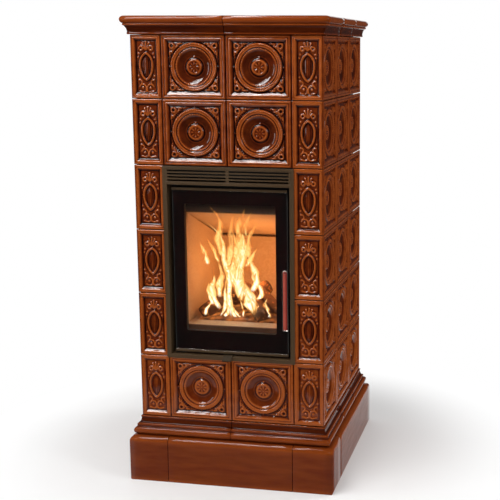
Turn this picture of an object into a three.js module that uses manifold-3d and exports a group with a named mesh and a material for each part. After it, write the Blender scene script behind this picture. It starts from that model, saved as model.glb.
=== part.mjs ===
// Tiled stove: a wood-burning insert behind a wall of relief tiles.
// Millimetres, +Z up, front towards -Y, origin on the floor in the middle of the plan.

import * as THREE from "three";
import { mergeVertices } from "three/addons/utils/BufferGeometryUtils.js";
import Module from "manifold-3d";

const wasm = await Module();
wasm.setup();

// ---------------------------------------------------------------- driving dimensions

const SEAT = 0.3; // clearance between two pieces that rest on each other

// Tile wall
const TILE = 220; // face of a square tile
const TOP_TILE = 209; // height of the tiles in the top row
const JOINT = 2; // open joint between two tile faces
const CORNER_LEG = 105; // front leg of a corner tile
const FRONT_TILES = 2; // square tiles across the front
const SIDE_TILES = 3; // square tiles along each side
const INSERT_FIRST_ROW = 1; // rows from the bottom: the insert starts above this many
const INSERT_ROWS = 3; // rows that the insert takes up
const ROWS = 6;
const FACE_DEPTH = 14; // tile face to the front of its body
const TILE_DEPTH = 50; // tile face to the back of its body

// Relief of a square tile, as depth behind the tile face
const MARGIN = 9; // flat border
const FRAME_STEP = 3; // width of the step inside the border
const FRAME_ROLL = 5; // width of the roll beyond the step
const FRAME_SLOPE = 7; // width of the slope down to the field
const STEP_SUNK = 5;
const ROLL_SUNK = 3.5;
const FIELD_SUNK = 8;
const RING_R = 79; // outer radius of the medallion ring
const CREST_R = 73; // radius of the ring's crest
const GROOVE_R = 66; // groove between the ring and its inner roll
const INNER_ROLL_R = 62;
const INNER_ROLL_SUNK = 3;
const DISH_R = 57; // radius at which the dish is steep
const DISH_FLOOR_R = 46;
const DISH_SUNK = 20;
const BOSS_R = 26;
const BOSS_SUNK = 13;
const BOSS_RIM_R = 20; // inner radius of the boss's raised rim
const BOSS_RIM = 2;
const SCROLL_R = 9; // corner scrolls of the field
const SCROLL_INSET = 14; // from the field's edges to a scroll's centre
const SCROLL_SUNK = 2.5;
const SCROLL_EYE = 1; // hollow in a scroll's middle
const SCROLL_SEGMENTS = 6;
const FINE_SEGMENTS = 14; // sides of a medallion on the front
const PLAIN_SEGMENTS = 10; // and on the stove's sides

// Relief of a corner tile's front leg
const CABOCHON_W = 53;
const CABOCHON_H = 98;
const CABOCHON_RISE = 6; // above the field
const CABOCHON_EDGE = 4; // its sloping edge
const LEAF_W = 30; // hollow in the cabochon
const LEAF_H = 70;
const LEAF_SUNK = 4;
const OVAL_BELLY = [0.9, -0.72]; // its outline's points, as parts of half its width and height
const OVAL_WIDEST = [1.12, 0.1];
const OVAL_SHOULDER = [0.8, 0.55];
const OVAL_BROW = [0.5, 0.9];
const SHELL_H = 26; // shell above and scroll below the cabochon
const SHELL_W = 48;
const SHELL_DIP = 0.9; // dip of its long edge, and place of its notch, as parts of its size
const SHELL_NOTCH = [0.18, 0.72];
const SHELL_RISE = 5;
const SHELL_GAP = 6;
const SHELL_EDGE = 2;

// Plinth, base moulding and cornice; projections are measured out from the tile face
const PLINTH_H = 163;
const PLINTH_OUT = 36;
const PLINTH_CORNER = 140; // leg of a plinth corner block
const PLINTH_LEDGE = 20; // inner ledge that carries the floor slab
const SHOULDER_H = 19; // rounded shoulder of the plinth
const SHOULDER_W = 21;
const BASE_H = 66;
const TORUS_OUT = 24; // torus of the base moulding
const TORUS_R = 13;
const TORUS_Z = 16; // its centre above the plinth
const TORUS_TURN = [-55, 70]; // where its round begins and ends, in degrees from straight out
const BASE_FILLET_OUT = 14; // flat band above the torus
const BASE_FILLET_Z = 30;
const BASE_FILLET_H = 9;
const BASE_HOLLOW_R = 40; // hollow above the fillet
const BASE_HOLLOW_TURN = 30;
const BASE_TOP_OUT = 2;
const BASE_LIP = 5;
const CORNICE_H = 61;
const CORNICE_OUT = 25;
const ROLL_R = 13; // bullnose roll of the cornice
const ROLL_TURN = [-65, 90];
const CORNICE_FOOT_OUT = 6;
const CORNICE_FOOT_H = 7;
const COVE_R = 32; // hollow under the roll
const COVE_TURN = 44;
const CORNICE_FILLET_OUT = 18;
const CORNICE_FILLET_H = 6;
const SHOULDER_TURN = [20, 45, 70, 90]; // edges of the plinth's shoulder, in degrees from straight out
const MOULDING_STEPS = 5; // flats of a moulding's round
const HOLLOW_STEPS = 3; // and of its hollow
const MOULDING_PIECE = 234; // tile face to the first moulding joint on a side
const MOULDING_JOINT = 1.2;
const GROOVE_DEPTH = 6; // pointed joint behind the tile face
const TOP_LEDGE = 20; // ledge inside the cornice for the top slab
const TOP_LEDGE_H = 18;
const TOP_SLAB_H = 36;
const FLOOR_SLAB_H = 37;

// Steel surround of the insert
const LAP = 5; // surround over the tile edges
const SHEET = 2.5; // flange of the surround
const SLEEVE = 3; // sleeve of the surround
const SLEEVE_DEPTH = 46; // tile face to the end of the sleeve
const SIDE_RAIL = 15.5;
const BOTTOM_RAIL = 14;
const TOP_BAND = 62.4; // band with the air grille
const GRILLE_SIDE = 10.5; // surround's edge to the grille
const GRILLE_H = 44;
const GRILLE_INSET = 9; // top of the band to the grille
const SLOT_ROWS = 4;
const SLOT_GROUPS = 2;
const SLOT_H = 3.7;
const SLOT_PITCH = 10.6;
const SLOT_WEB = 10; // between the two groups of slots
const SLOT_END = 6.5; // from the last slot's end to the grille's edge

// Door
const DOOR_RECESS = 12; // tile face to the glass
const DOOR_SIDE_GAP = 10.5;
const DOOR_FOOT_GAP = 7;
const DOOR_HEAD_GAP = 10.6;
const GLASS_T = 4;
const GLASS_EDGE = 4; // door frame seen beside the glass
const STRIP_H = 8.7;
const STRIP_OUT = 2; // trim strips in front of the glass
const FRAME_T = 18;
const WINDOW_SIDE = 42; // door edge to the window
const WINDOW_FOOT = 76;
const WINDOW_HEAD = 55;
const WINDOW_R = 6;
const GASKET_D = 8;
const GASKET_INSET = 21; // door edge to the middle of the rope
const ROPE_SIDES = 8;
const HINGE_INSET = 14; // door edge to the hinge axis
const HINGE_R = 4;
const HINGE_CLEAR = 0.4;
const HINGE_DEEP = 17; // pin inside the door frame
const BRACKET_W = 30;
const BRACKET_T = 3;

// Handle and latch
const HANDLE_W = 21;
const HANDLE_L = 211;
const HANDLE_T = 12;
const HANDLE_GAP = 5; // handle in front of the glass
const HANDLE_FOOT = 95; // door's lower edge to the handle's lower end
const HANDLE_INSET = 6.5; // door edge to the spindle
const HANDLE_EDGE = 2; // rounded edge
const SPINDLE_R = 4.5;
const SPINDLE_CLEAR = 0.4;
const NOTCH_CLEAR = 3; // spindle to the notch in the glass
const TONGUE_L = 11;
const TONGUE_W = 9;
const TONGUE_T = 4;
const KEEPER_CLEAR = 1;
const KEEPER_W = 4.4;
const KEEPER_H = 30;

// Firebox shell and lining
const RIM_SETBACK = 8; // door frame to the rim it closes on
const RIM_T = 4;
const RIM_FOOT_GAP = 8; // sleeve to the rim, where the air lever passes
const MOUTH_INSET = 36.2; // rim edge to the mouth, at the sides and above
const MOUTH_FOOT = 18;
const WALL = 4;
const SHELL_SET_IN = 3.2; // rim edge to the shell's side
const SHELL_DEPTH = 436;
const BRICK = 30;
const HEARTH_H = 83;
const ASH_W = 240;
const ASH_L = 340;
const ASH_H = 35;
const ASH_SILL = 18; // floor of the ash chamber above the shell's floor
const ASH_CLEAR = 2;
const PAN_H = 28;
const PAN_WALL = 2;
const GRATE_W = 190;
const GRATE_L = 170;
const GRATE_T = 12;
const GRATE_LEDGE = 8;
const GRATE_BARS = 8;
const GRATE_FRAME = 12;
const GRATE_SLOT = 9;
const GRATE_SETBACK = 120;
const BAFFLE_T = 28;
const BAFFLE_FRONT_H = 392; // hearth to the baffle's underside at its front edge
const BAFFLE_BACK_H = 244; // the same at the back wall
const BAFFLE_SETBACK = 34; // rim to the baffle's front edge
const GUARD_T = 8;
const GUARD_H = 34;
const GUARD_W = 344;

// Air control under the shell
const LEVER_W = 32;
const LEVER_T = 3;
const LEVER_OFFSET = -9; // from the middle, as it stands
const LEVER_OUT = 4; // flange to the bend of the lip
const LIP_OUT = 14;
const LIP_DROP = 13;
const SLIDE_W = 128;
const SLIDE_L = 40;
const AIR_SLOTS = 3;
const AIR_SLOT_W = 12;
const AIR_SLOT_L = 18;
const AIR_SLOT_PITCH = 40;
const AIR_SETBACK = 4; // rim to the slide

// Stand, lintel, rear panel and flue
const STAND_RAIL = 28;
const STAND_LEG = 30;
const STAND_SET_IN = 20;
const STAND_SETBACK = 56; // rim to the stand's front rail
const LINTEL_T = 4;
const LINTEL_H = 44;
const PANEL_T = 3;
const PANEL_SET_IN = 11;
const FLUE_R = 75;
const FLUE_WALL = 3;
const FLUE_BEND = 115;
const FLUE_RISE = 250; // shell top to the axis of the outlet
const FLUE_SETBACK = 314; // rim to the flue's upright axis
const FLUE_CLEAR = 2;
const FLUE_SIDES = 16; // sides of the holes round the flue
const ROSETTE_W = 24;

// ---------------------------------------------------------------- what follows from them

const PITCH = TILE + JOINT;
const OPENING_W = FRONT_TILES * PITCH + JOINT; // between the two corner legs
const HALF_W = OPENING_W / 2 + CORNER_LEG; // tile face at the sides
const HALF_D = (SIDE_TILES * PITCH - JOINT) / 2; // tile face at the front and rear
const FRONT_Y = -HALF_D;
const WALL_Z = PLINTH_H + BASE_H;
const rowZ = (row) => WALL_Z + row * PITCH;
const CORNICE_Z = rowZ(ROWS - 1) + TOP_TILE + JOINT;
const INNER_X = HALF_W - TILE_DEPTH;
const INNER_Y = HALF_D - TILE_DEPTH;

const SURROUND_X = OPENING_W / 2 + LAP;
const SURROUND_FOOT = rowZ(INSERT_FIRST_ROW) - LAP;
const SURROUND_HEAD = rowZ(INSERT_FIRST_ROW + INSERT_ROWS) - JOINT;
const CLEAR_X = SURROUND_X - SIDE_RAIL; // clear opening of the surround
const CLEAR_FOOT = SURROUND_FOOT + BOTTOM_RAIL;
const CLEAR_HEAD = SURROUND_HEAD - TOP_BAND;
const FLANGE_Y = FRONT_Y - SEAT; // back of the flange
const GRILLE_HEAD = SURROUND_HEAD - GRILLE_INSET;
const GRILLE_X = SURROUND_X - GRILLE_SIDE;
const SLOT_L = (2 * (GRILLE_X - SLOT_END) - (SLOT_GROUPS - 1) * SLOT_WEB) / SLOT_GROUPS;

const DOOR_X = CLEAR_X - DOOR_SIDE_GAP;
const DOOR_FOOT = CLEAR_FOOT + DOOR_FOOT_GAP;
const DOOR_HEAD = CLEAR_HEAD - DOOR_HEAD_GAP;
const GLASS_Y = FRONT_Y + DOOR_RECESS;
const FRAME_Y = GLASS_Y + GLASS_T + SEAT; // front of the door frame
const FRAME_BACK = FRAME_Y + FRAME_T;
const HINGE = { x: -DOOR_X + HINGE_INSET, y: FRAME_Y + FRAME_T / 2 };
const HANDLE_X = DOOR_X - HANDLE_INSET;
const HANDLE_Z = DOOR_FOOT + HANDLE_FOOT + HANDLE_L - HANDLE_W / 2; // spindle axis
const HANDLE_BACK = GLASS_Y - HANDLE_GAP;

const RIM_Y = FRAME_BACK + RIM_SETBACK;
const RIM_X = CLEAR_X - SEAT;
const RIM_FOOT = CLEAR_FOOT + RIM_FOOT_GAP;
const RIM_HEAD = CLEAR_HEAD - SEAT;
const MOUTH_X = RIM_X - MOUTH_INSET;
const SHELL_X = RIM_X - SHELL_SET_IN;
const SHELL_BACK = RIM_Y + RIM_T + SHELL_DEPTH;
const LINING_X = SHELL_X - WALL - SEAT; // lining fits inside the shell
const LINING_BACK = SHELL_BACK - WALL - SEAT;
const LINING_FRONT = RIM_Y + RIM_T + SEAT;
const CHAMBER_X = LINING_X - BRICK;
const CHAMBER_BACK = LINING_BACK - BRICK;
const HEARTH_FOOT = RIM_FOOT + WALL + SEAT;
const HEARTH_TOP = HEARTH_FOOT + HEARTH_H;
const ASH_FLOOR = HEARTH_FOOT + ASH_SILL;
const FLUE_Y = RIM_Y + FLUE_SETBACK;
const FLUE_Z = RIM_HEAD + FLUE_RISE;
const PANEL_Y = HALF_D - PANEL_SET_IN - PANEL_T;
const LEVER_Z = CLEAR_FOOT + SEAT;
const SLIDE_Z = LEVER_Z + LEVER_T + SEAT;

// ---------------------------------------------------------------- solids

// Turns a closed geometry into a solid, with its faces pointing out.
function solid(geometry) {
  const bare = geometry.clone();
  bare.deleteAttribute("normal");
  bare.deleteAttribute("uv");
  const merged = mergeVertices(bare, 1e-4);
  const points = merged.attributes.position.array;
  const corners = merged.index.array;
  const faces = [];
  let volume = 0;
  const [a, b, c] = [new THREE.Vector3(), new THREE.Vector3(), new THREE.Vector3()];
  for (let i = 0; i < corners.length; i += 3) {
    const [p, q, r] = [corners[i], corners[i + 1], corners[i + 2]];
    if (p === q || q === r || r === p) continue; // the flat triangles at a lathe's poles
    faces.push(p, q, r);
    a.fromArray(points, 3 * p);
    b.fromArray(points, 3 * q);
    c.fromArray(points, 3 * r);
    volume += a.dot(b.cross(c));
  }
  if (volume < 0) faces.reverse();
  const mesh = new wasm.Mesh({ numProp: 3, vertProperties: points, triVerts: Uint32Array.from(faces) });
  return new wasm.Manifold(mesh);
}

function box(x0, x1, y0, y1, z0, z1) {
  const geometry = new THREE.BoxGeometry(x1 - x0, y1 - y0, z1 - z0);
  return solid(geometry.translate((x0 + x1) / 2, (y0 + y1) / 2, (z0 + z1) / 2));
}

const cut = (body, tools) => tools.reduce((left, tool) => left.subtract(tool), body);

function rectangle(x0, x1, y0, y1) {
  const shape = new THREE.Shape();
  shape.moveTo(x0, y0).lineTo(x1, y0).lineTo(x1, y1).lineTo(x0, y1).closePath();
  return shape;
}

// A plate that stands facing the front: its outline in X and Z, from depth y0 back to y1.
function upright(shape, y0, y1, curveSegments = 6) {
  const geometry = new THREE.ExtrudeGeometry(shape, { depth: y1 - y0, bevelEnabled: false, curveSegments });
  return solid(geometry.rotateX(Math.PI / 2).translate(0, y1, 0));
}

// A round bar or hole along an axis, from one end to the other.
function rod(radius, axis, from, to, at, segments = 12) {
  const geometry = new THREE.CylinderGeometry(radius, radius, to - from, segments);
  geometry.translate(0, (from + to) / 2, 0);
  if (axis === "z") geometry.rotateX(Math.PI / 2);
  return solid(geometry.translate(at.x ?? 0, at.y ?? 0, at.z ?? 0));
}

// Carries a closed outline along stations; each station has a place and the two axes of the outline.
function sweep(outline, stations, closed = false) {
  const positions = [];
  for (const { at, across, up } of stations) {
    for (const [p, q] of outline) {
      positions.push(at[0] + across[0] * p + up[0] * q);
      positions.push(at[1] + across[1] * p + up[1] * q);
      positions.push(at[2] + across[2] * p + up[2] * q);
    }
  }
  const n = outline.length;
  const index = [];
  const spans = closed ? stations.length : stations.length - 1;
  for (let s = 0; s < spans; s++) {
    const here = s * n;
    const next = ((s + 1) % stations.length) * n;
    for (let i = 0; i < n; i++) {
      const j = (i + 1) % n;
      index.push(here + i, here + j, next + j, here + i, next + j, next + i);
    }
  }
  if (!closed) {
    const contour = outline.map(([p, q]) => new THREE.Vector2(p, q));
    const last = (stations.length - 1) * n;
    for (const [i, j, k] of THREE.ShapeUtils.triangulateShape(contour, [])) {
      index.push(k, j, i, last + i, last + j, last + k);
    }
  }
  const geometry = new THREE.BufferGeometry();
  geometry.setAttribute("position", new THREE.Float32BufferAttribute(positions, 3));
  geometry.setIndex(index);
  return geometry;
}

// A rectangular block with mitred steps: each step is a rectangle set in from the edge, at a height.
function mitredBlock(width, height, steps) {
  const outline = steps.map(([inset, out]) => [inset, out]);
  const ring = [
    { at: [0, 0, 0], across: [1, 1, 0], up: [0, 0, 1] },
    { at: [width, 0, 0], across: [-1, 1, 0], up: [0, 0, 1] },
    { at: [width, height, 0], across: [-1, -1, 0], up: [0, 0, 1] },
    { at: [0, height, 0], across: [1, -1, 0], up: [0, 0, 1] },
  ];
  const n = outline.length;
  const geometry = sweep(outline, ring, true);
  const index = [...geometry.index.array];
  const bands = [];
  for (let i = 0; i < index.length; i += 6) {
    const band = (i / 6) % n;
    if (band !== n - 1) bands.push(...index.slice(i, i + 6)); // all but the band that would close the outline
  }
  const cap = (level, flip) => {
    const [a, b, c, d] = [level, level + n, level + 2 * n, level + 3 * n];
    bands.push(...(flip ? [a, c, b, a, d, c] : [a, b, c, a, c, d]));
  };
  cap(0, false);
  cap(n - 1, true);
  geometry.setIndex(bands);
  return geometry;
}

const arc = (cx, cy, r, from, to, steps) =>
  Array.from({ length: steps + 1 }, (_, i) => {
    const angle = THREE.MathUtils.degToRad(from + ((to - from) * i) / steps);
    return [cx + r * Math.cos(angle), cy + r * Math.sin(angle)];
  });

// ---------------------------------------------------------------- finishes and the scene graph

const FINISHES = {
  glaze: { color: 0x6b2a10, roughness: 0.12, metalness: 0 },
  bronze: { color: 0x3d342a, roughness: 0.45, metalness: 0.6 },
  iron: { color: 0x1d1c1b, roughness: 0.7, metalness: 0.5 },
  steel: { color: 0x77787a, roughness: 0.4, metalness: 0.9 },
  chamotte: { color: 0xb89a72, roughness: 0.95, metalness: 0 },
  concrete: { color: 0x9d978c, roughness: 0.95, metalness: 0 },
  glass: { color: 0x0b0a0a, roughness: 0.05, metalness: 0 },
  rope: { color: 0x55524c, roughness: 1, metalness: 0 },
  inlay: { color: 0x7a2419, roughness: 0.35, metalness: 0.2 },
};

const stove = new THREE.Group();

function group(parent) {
  const made = new THREE.Group();
  parent.add(made);
  return made;
}

function add(parent, name, shape, finish) {
  const { vertProperties, triVerts } = shape.getMesh();
  const geometry = new THREE.BufferGeometry();
  geometry.setAttribute("position", new THREE.Float32BufferAttribute(vertProperties, 3));
  geometry.setIndex(new THREE.Uint32BufferAttribute(triVerts, 1));
  const mesh = new THREE.Mesh(geometry, new THREE.MeshStandardMaterial(FINISHES[finish]));
  mesh.name = name;
  parent.add(mesh);
  return mesh;
}

const wallPieces = group(stove);
const insert = group(stove);
const door = group(insert);
const handle = group(door);
const airControl = group(insert);

// ---------------------------------------------------------------- relief tiles

// Tiles are drawn lying down: X across, Y up the wall and Z out of it, with the tile face at Z = 0.
const FACES = {
  front: new THREE.Matrix4().makeBasis(
    new THREE.Vector3(1, 0, 0), new THREE.Vector3(0, 0, 1), new THREE.Vector3(0, -1, 0)),
  right: new THREE.Matrix4().makeBasis(
    new THREE.Vector3(0, 1, 0), new THREE.Vector3(0, 0, 1), new THREE.Vector3(1, 0, 0)),
  left: new THREE.Matrix4().makeBasis(
    new THREE.Vector3(0, -1, 0), new THREE.Vector3(0, 0, 1), new THREE.Vector3(-1, 0, 0)),
};

function onWall(geometry, face, x, y, z) {
  return solid(geometry.clone().applyMatrix4(FACES[face]).translate(x, y, z));
}

const FIELD_INSET = MARGIN + FRAME_STEP + FRAME_ROLL + FRAME_SLOPE;
const FRAME_STEPS = [
  [0, 0],
  [MARGIN, 0],
  [MARGIN + FRAME_STEP, -STEP_SUNK],
  [MARGIN + FRAME_STEP + FRAME_ROLL, -ROLL_SUNK],
  [FIELD_INSET, -FIELD_SUNK],
];
const PLAIN_STEPS = [FRAME_STEPS[0], FRAME_STEPS[1], FRAME_STEPS[4]];
const TILE_ROOT = -(DISH_SUNK + FACE_DEPTH / 2); // how far a face reaches back into the tile's body

const framedFace = (width, height, steps) => mitredBlock(width, height, [[0, TILE_ROOT], ...steps]);

// A medallion's outline from its axis to its edge: boss, dish, inner roll, groove and ring.
const FINE_MEDALLION = [
  [0, -BOSS_SUNK - BOSS_RIM],
  [BOSS_RIM_R, -BOSS_SUNK - BOSS_RIM],
  [BOSS_RIM_R + BOSS_RIM, -BOSS_SUNK],
  [BOSS_R, -BOSS_SUNK],
  [BOSS_R + BOSS_RIM, -DISH_SUNK],
  [DISH_FLOOR_R, -DISH_SUNK],
  [DISH_R, -FIELD_SUNK],
  [INNER_ROLL_R, -INNER_ROLL_SUNK],
  [GROOVE_R, -STEP_SUNK],
  [CREST_R, 0],
  [RING_R, -FIELD_SUNK],
];
const PLAIN_MEDALLION = [
  [0, -BOSS_SUNK],
  [BOSS_R, -BOSS_SUNK],
  [BOSS_R + BOSS_RIM, -DISH_SUNK],
  [INNER_ROLL_R, -INNER_ROLL_SUNK],
  [CREST_R, 0],
  [RING_R, -FIELD_SUNK],
];

function turned(outline, segments) {
  const closed = [[0, TILE_ROOT], ...outline, [RING_R, TILE_ROOT], [0, TILE_ROOT]];
  const points = closed.map(([r, out]) => new THREE.Vector2(r, out));
  return new THREE.LatheGeometry(points, segments).rotateX(Math.PI / 2);
}

function scrollBoss() {
  const outline = [
    [0, TILE_ROOT],
    [SCROLL_R, TILE_ROOT],
    [SCROLL_R, -FIELD_SUNK],
    [SCROLL_R / 2, -SCROLL_SUNK],
    [0, -SCROLL_SUNK - SCROLL_EYE],
  ];
  const points = outline.map(([r, out]) => new THREE.Vector2(r, out));
  return new THREE.LatheGeometry(points, SCROLL_SEGMENTS).rotateX(Math.PI / 2);
}

// A square tile's face, joined to the body it stands on and cut out for the dish.
function addMedallionFace(body, face, x, y, z, u, height, fine) {
  const place = (geometry, du, dv) => onWall(geometry.translate(u + du, dv, 0), face, x, y, z + JOINT / 2);
  const segments = fine ? FINE_SEGMENTS : PLAIN_SEGMENTS;
  const [cu, cv] = [TILE / 2, height / 2];
  const hollow = new THREE.CylinderGeometry(CREST_R, CREST_R, 2 * DISH_SUNK, segments).rotateX(Math.PI / 2);
  const medallion = turned(fine ? FINE_MEDALLION : PLAIN_MEDALLION, segments);
  const frame = framedFace(TILE, height, fine ? FRAME_STEPS : PLAIN_STEPS);
  let made = body.add(place(frame, 0, 0)).subtract(place(hollow, cu, cv)).add(place(medallion, cu, cv));
  if (!fine) return made;
  const reach = FIELD_INSET + SCROLL_INSET;
  for (const du of [reach, TILE - reach]) {
    for (const dv of [reach, height - reach]) made = made.add(place(scrollBoss(), du, dv));
  }
  return made;
}

// A pointed oval, as the cabochon and its hollow are cut.
function pointedOval(width, height) {
  const shape = new THREE.Shape();
  const [w, h] = [width / 2, height / 2];
  const at = ([part, rise], hand) => [hand * w * part, h * rise];
  shape.moveTo(0, -h);
  shape.bezierCurveTo(...at(OVAL_BELLY, 1), ...at(OVAL_WIDEST, 1), ...at(OVAL_SHOULDER, 1));
  shape.quadraticCurveTo(...at(OVAL_BROW, 1), 0, h);
  shape.quadraticCurveTo(...at(OVAL_BROW, -1), ...at(OVAL_SHOULDER, -1));
  shape.bezierCurveTo(...at(OVAL_WIDEST, -1), ...at(OVAL_BELLY, -1), 0, -h);
  return shape;
}

function raised(shape, from, to, edge, curveSegments) {
  const geometry = new THREE.ExtrudeGeometry(shape, {
    depth: to - from - edge,
    bevelThickness: edge,
    bevelSize: edge,
    bevelOffset: -edge,
    bevelSegments: 1,
    curveSegments,
  });
  return geometry.translate(0, 0, from);
}

function fan(width, height, up) {
  const shape = new THREE.Shape();
  const [notchX, notchY] = [width * SHELL_NOTCH[0], up * height * SHELL_NOTCH[1]];
  shape.moveTo(-width / 2, up * height);
  shape.quadraticCurveTo(0, -up * height * SHELL_DIP, width / 2, up * height);
  shape.lineTo(notchX, notchY);
  shape.lineTo(0, up * height);
  shape.lineTo(-notchX, notchY);
  shape.closePath();
  return shape;
}

// The front leg of a corner tile: a frame, the cabochon, a shell above it and a scroll below.
function addLegFace(body, x, z, height) {
  const [cu, cv] = [CORNER_LEG / 2, height / 2];
  const foot = z + JOINT / 2;
  const place = (geometry, du, dv) => onWall(geometry.translate(du, dv, 0), "front", x, FRONT_Y, foot);
  const crest = CABOCHON_RISE - FIELD_SUNK;
  const cabochon = raised(pointedOval(CABOCHON_W, CABOCHON_H), TILE_ROOT, crest, CABOCHON_EDGE, 2);
  const hollow = raised(pointedOval(LEAF_W, LEAF_H), crest - LEAF_SUNK, crest + CABOCHON_EDGE, 1, 1);
  let made = body.add(place(framedFace(CORNER_LEG, height, FRAME_STEPS), 0, 0));
  made = made.add(place(cabochon, cu, cv)).subtract(place(hollow, cu, cv));
  for (const up of [1, -1]) {
    const ornament = raised(fan(SHELL_W, SHELL_H / 2, up), TILE_ROOT, SHELL_RISE - FIELD_SUNK, SHELL_EDGE, 2);
    made = made.add(place(ornament, cu, cv + up * (CABOCHON_H / 2 + SHELL_GAP + SHELL_H / 2)));
  }
  return made;
}

// One course of a side wall: the corner tile with its front leg, then the side's tiles, on one body.
function tileCourse(hand, height) {
  const depth = height + JOINT - SEAT;
  const legEnd = OPENING_W / 2 - (JOINT - SEAT) / 2;
  const plan = new THREE.Shape();
  plan.moveTo(hand * legEnd, -HALF_D + FACE_DEPTH);
  plan.lineTo(hand * (HALF_W - FACE_DEPTH), -HALF_D + FACE_DEPTH);
  plan.lineTo(hand * (HALF_W - FACE_DEPTH), HALF_D);
  plan.lineTo(hand * INNER_X, HALF_D);
  plan.lineTo(hand * INNER_X, -INNER_Y);
  plan.lineTo(hand * legEnd, -INNER_Y);
  plan.closePath();
  let body = solid(new THREE.ExtrudeGeometry(plan, { depth, bevelEnabled: false }).translate(0, 0, SEAT / 2));
  const face = hand > 0 ? "right" : "left";
  for (let k = 0; k < SIDE_TILES; k++) {
    body = addMedallionFace(body, face, hand * HALF_W, -hand * HALF_D, 0, k * PITCH, height, false);
  }
  return addLegFace(body, hand > 0 ? OPENING_W / 2 : -HALF_W, 0, height);
}

// A square tile of the front, on its own body.
function frontTile(height) {
  const over = (JOINT - SEAT) / 2;
  const body = box(-over, TILE + over, FRONT_Y + FACE_DEPTH, -INNER_Y, SEAT / 2, height + JOINT - SEAT / 2);
  return addMedallionFace(body, "front", 0, FRONT_Y, 0, 0, height, true);
}

const inInsert = (row) => row >= INSERT_FIRST_ROW && row < INSERT_FIRST_ROW + INSERT_ROWS;

for (const [height, rows] of [[TILE, [0, 1, 2, 3, 4]], [TOP_TILE, [ROWS - 1]]]) {
  const tile = frontTile(height);
  const courses = { left: tileCourse(-1, height), right: tileCourse(1, height) };
  for (const row of rows) {
    const number = ROWS - row; // rows are numbered from the top
    for (const side of ["left", "right"]) {
      add(wallPieces, `tile_course_${side}_${number}`, courses[side], "glaze").position.z = rowZ(row);
      if (inInsert(row)) continue;
      const x = side === "left" ? -JOINT / 2 - TILE : JOINT / 2;
      add(wallPieces, `front_tile_${side}_${number}`, tile, "glaze").position.set(x, 0, rowZ(row));
    }
  }
}

// ---------------------------------------------------------------- mouldings and plinth

// Outlines run from the inner foot outwards and up; the first axis points out from the tile face.
const CORNICE_OUTLINE = [
  [-TILE_DEPTH - TOP_LEDGE, SEAT / 2],
  [CORNICE_FOOT_OUT, SEAT / 2],
  ...arc(CORNICE_FOOT_OUT + COVE_R, CORNICE_FOOT_H, COVE_R, 180, 180 - COVE_TURN, HOLLOW_STEPS),
  [CORNICE_FILLET_OUT, CORNICE_H - 2 * ROLL_R - CORNICE_FILLET_H],
  [CORNICE_FILLET_OUT, CORNICE_H - 2 * ROLL_R],
  ...arc(CORNICE_OUT - ROLL_R, CORNICE_H - ROLL_R, ROLL_R, ...ROLL_TURN, MOULDING_STEPS),
  [-TILE_DEPTH, CORNICE_H],
  [-TILE_DEPTH, TOP_LEDGE_H],
  [-TILE_DEPTH - TOP_LEDGE, TOP_LEDGE_H],
];
const BASE_OUTLINE = [
  [-TILE_DEPTH, SEAT / 2],
  [PLINTH_OUT - SHOULDER_W, SEAT / 2],
  ...arc(TORUS_OUT - TORUS_R, TORUS_Z, TORUS_R, ...TORUS_TURN, MOULDING_STEPS),
  [BASE_FILLET_OUT, BASE_FILLET_Z],
  [BASE_FILLET_OUT, BASE_FILLET_Z + BASE_FILLET_H],
  ...arc(BASE_TOP_OUT + BASE_HOLLOW_R, BASE_H - BASE_LIP, BASE_HOLLOW_R,
    180 + BASE_HOLLOW_TURN, 180, HOLLOW_STEPS),
  [BASE_TOP_OUT, BASE_H - SEAT / 2],
  [-TILE_DEPTH, BASE_H - SEAT / 2],
];
const PLINTH_OUTLINE = [
  [-TILE_DEPTH - PLINTH_LEDGE, 0],
  [PLINTH_OUT, 0],
  [PLINTH_OUT, PLINTH_H - SHOULDER_H],
  ...SHOULDER_TURN.map((angle) => {
    const turn = THREE.MathUtils.degToRad(angle);
    return [PLINTH_OUT - SHOULDER_W * (1 - Math.cos(turn)), PLINTH_H - SHOULDER_H * (1 - Math.sin(turn))];
  }),
  [-TILE_DEPTH - PLINTH_LEDGE, PLINTH_H],
];

// A straight or mitred run round the tile wall; stations lie on the tile face's line.
function wallRun(outline, stations, z) {
  const placed = stations.map(([x, y, dx, dy]) => ({ at: [x, y, z], across: [dx, dy, 0], up: [0, 0, 1] }));
  return solid(sweep(outline, placed));
}

function cornerRun(outline, sx, sy, frontEnd, sideEnd, z) {
  return wallRun(outline, [
    [frontEnd, sy * HALF_D, 0, sy],
    [sx * HALF_W, sy * HALF_D, sx, sy],
    [sx * HALF_W, sideEnd, sx, 0],
  ], z);
}

const GAP = MOULDING_JOINT / 2; // each side of a moulding joint
const SIDES = [["left", -1], ["right", 1]];

// Each moulding has two front corners, and two long pieces that run on round the rear corners,
// with a pointed joint one tile pitch further back.
function mouldingRing(name, outline, z, height) {
  const firstJoint = FRONT_Y + MOULDING_PIECE;
  const nextJoint = firstJoint + PITCH;
  for (const [side, sx] of SIDES) {
    const front = cornerRun(outline, sx, -1, sx * GAP, firstJoint - GAP, z);
    const [x0, x1] = [sx * (HALF_W - GROOVE_DEPTH), sx * (HALF_W + PLINTH_OUT)].sort((a, b) => a - b);
    const groove = box(x0, x1, nextJoint - GAP, nextJoint + GAP, z - GAP, z + height + GAP);
    const rear = cornerRun(outline, sx, 1, sx * GAP, firstJoint + GAP, z).subtract(groove);
    add(wallPieces, `${name}_front_${side}`, front, "glaze");
    add(wallPieces, `${name}_rear_${side}`, rear, "glaze");
  }
}

mouldingRing("cornice", CORNICE_OUTLINE, CORNICE_Z, CORNICE_H);
mouldingRing("base_moulding", BASE_OUTLINE, PLINTH_H, BASE_H);

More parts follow.
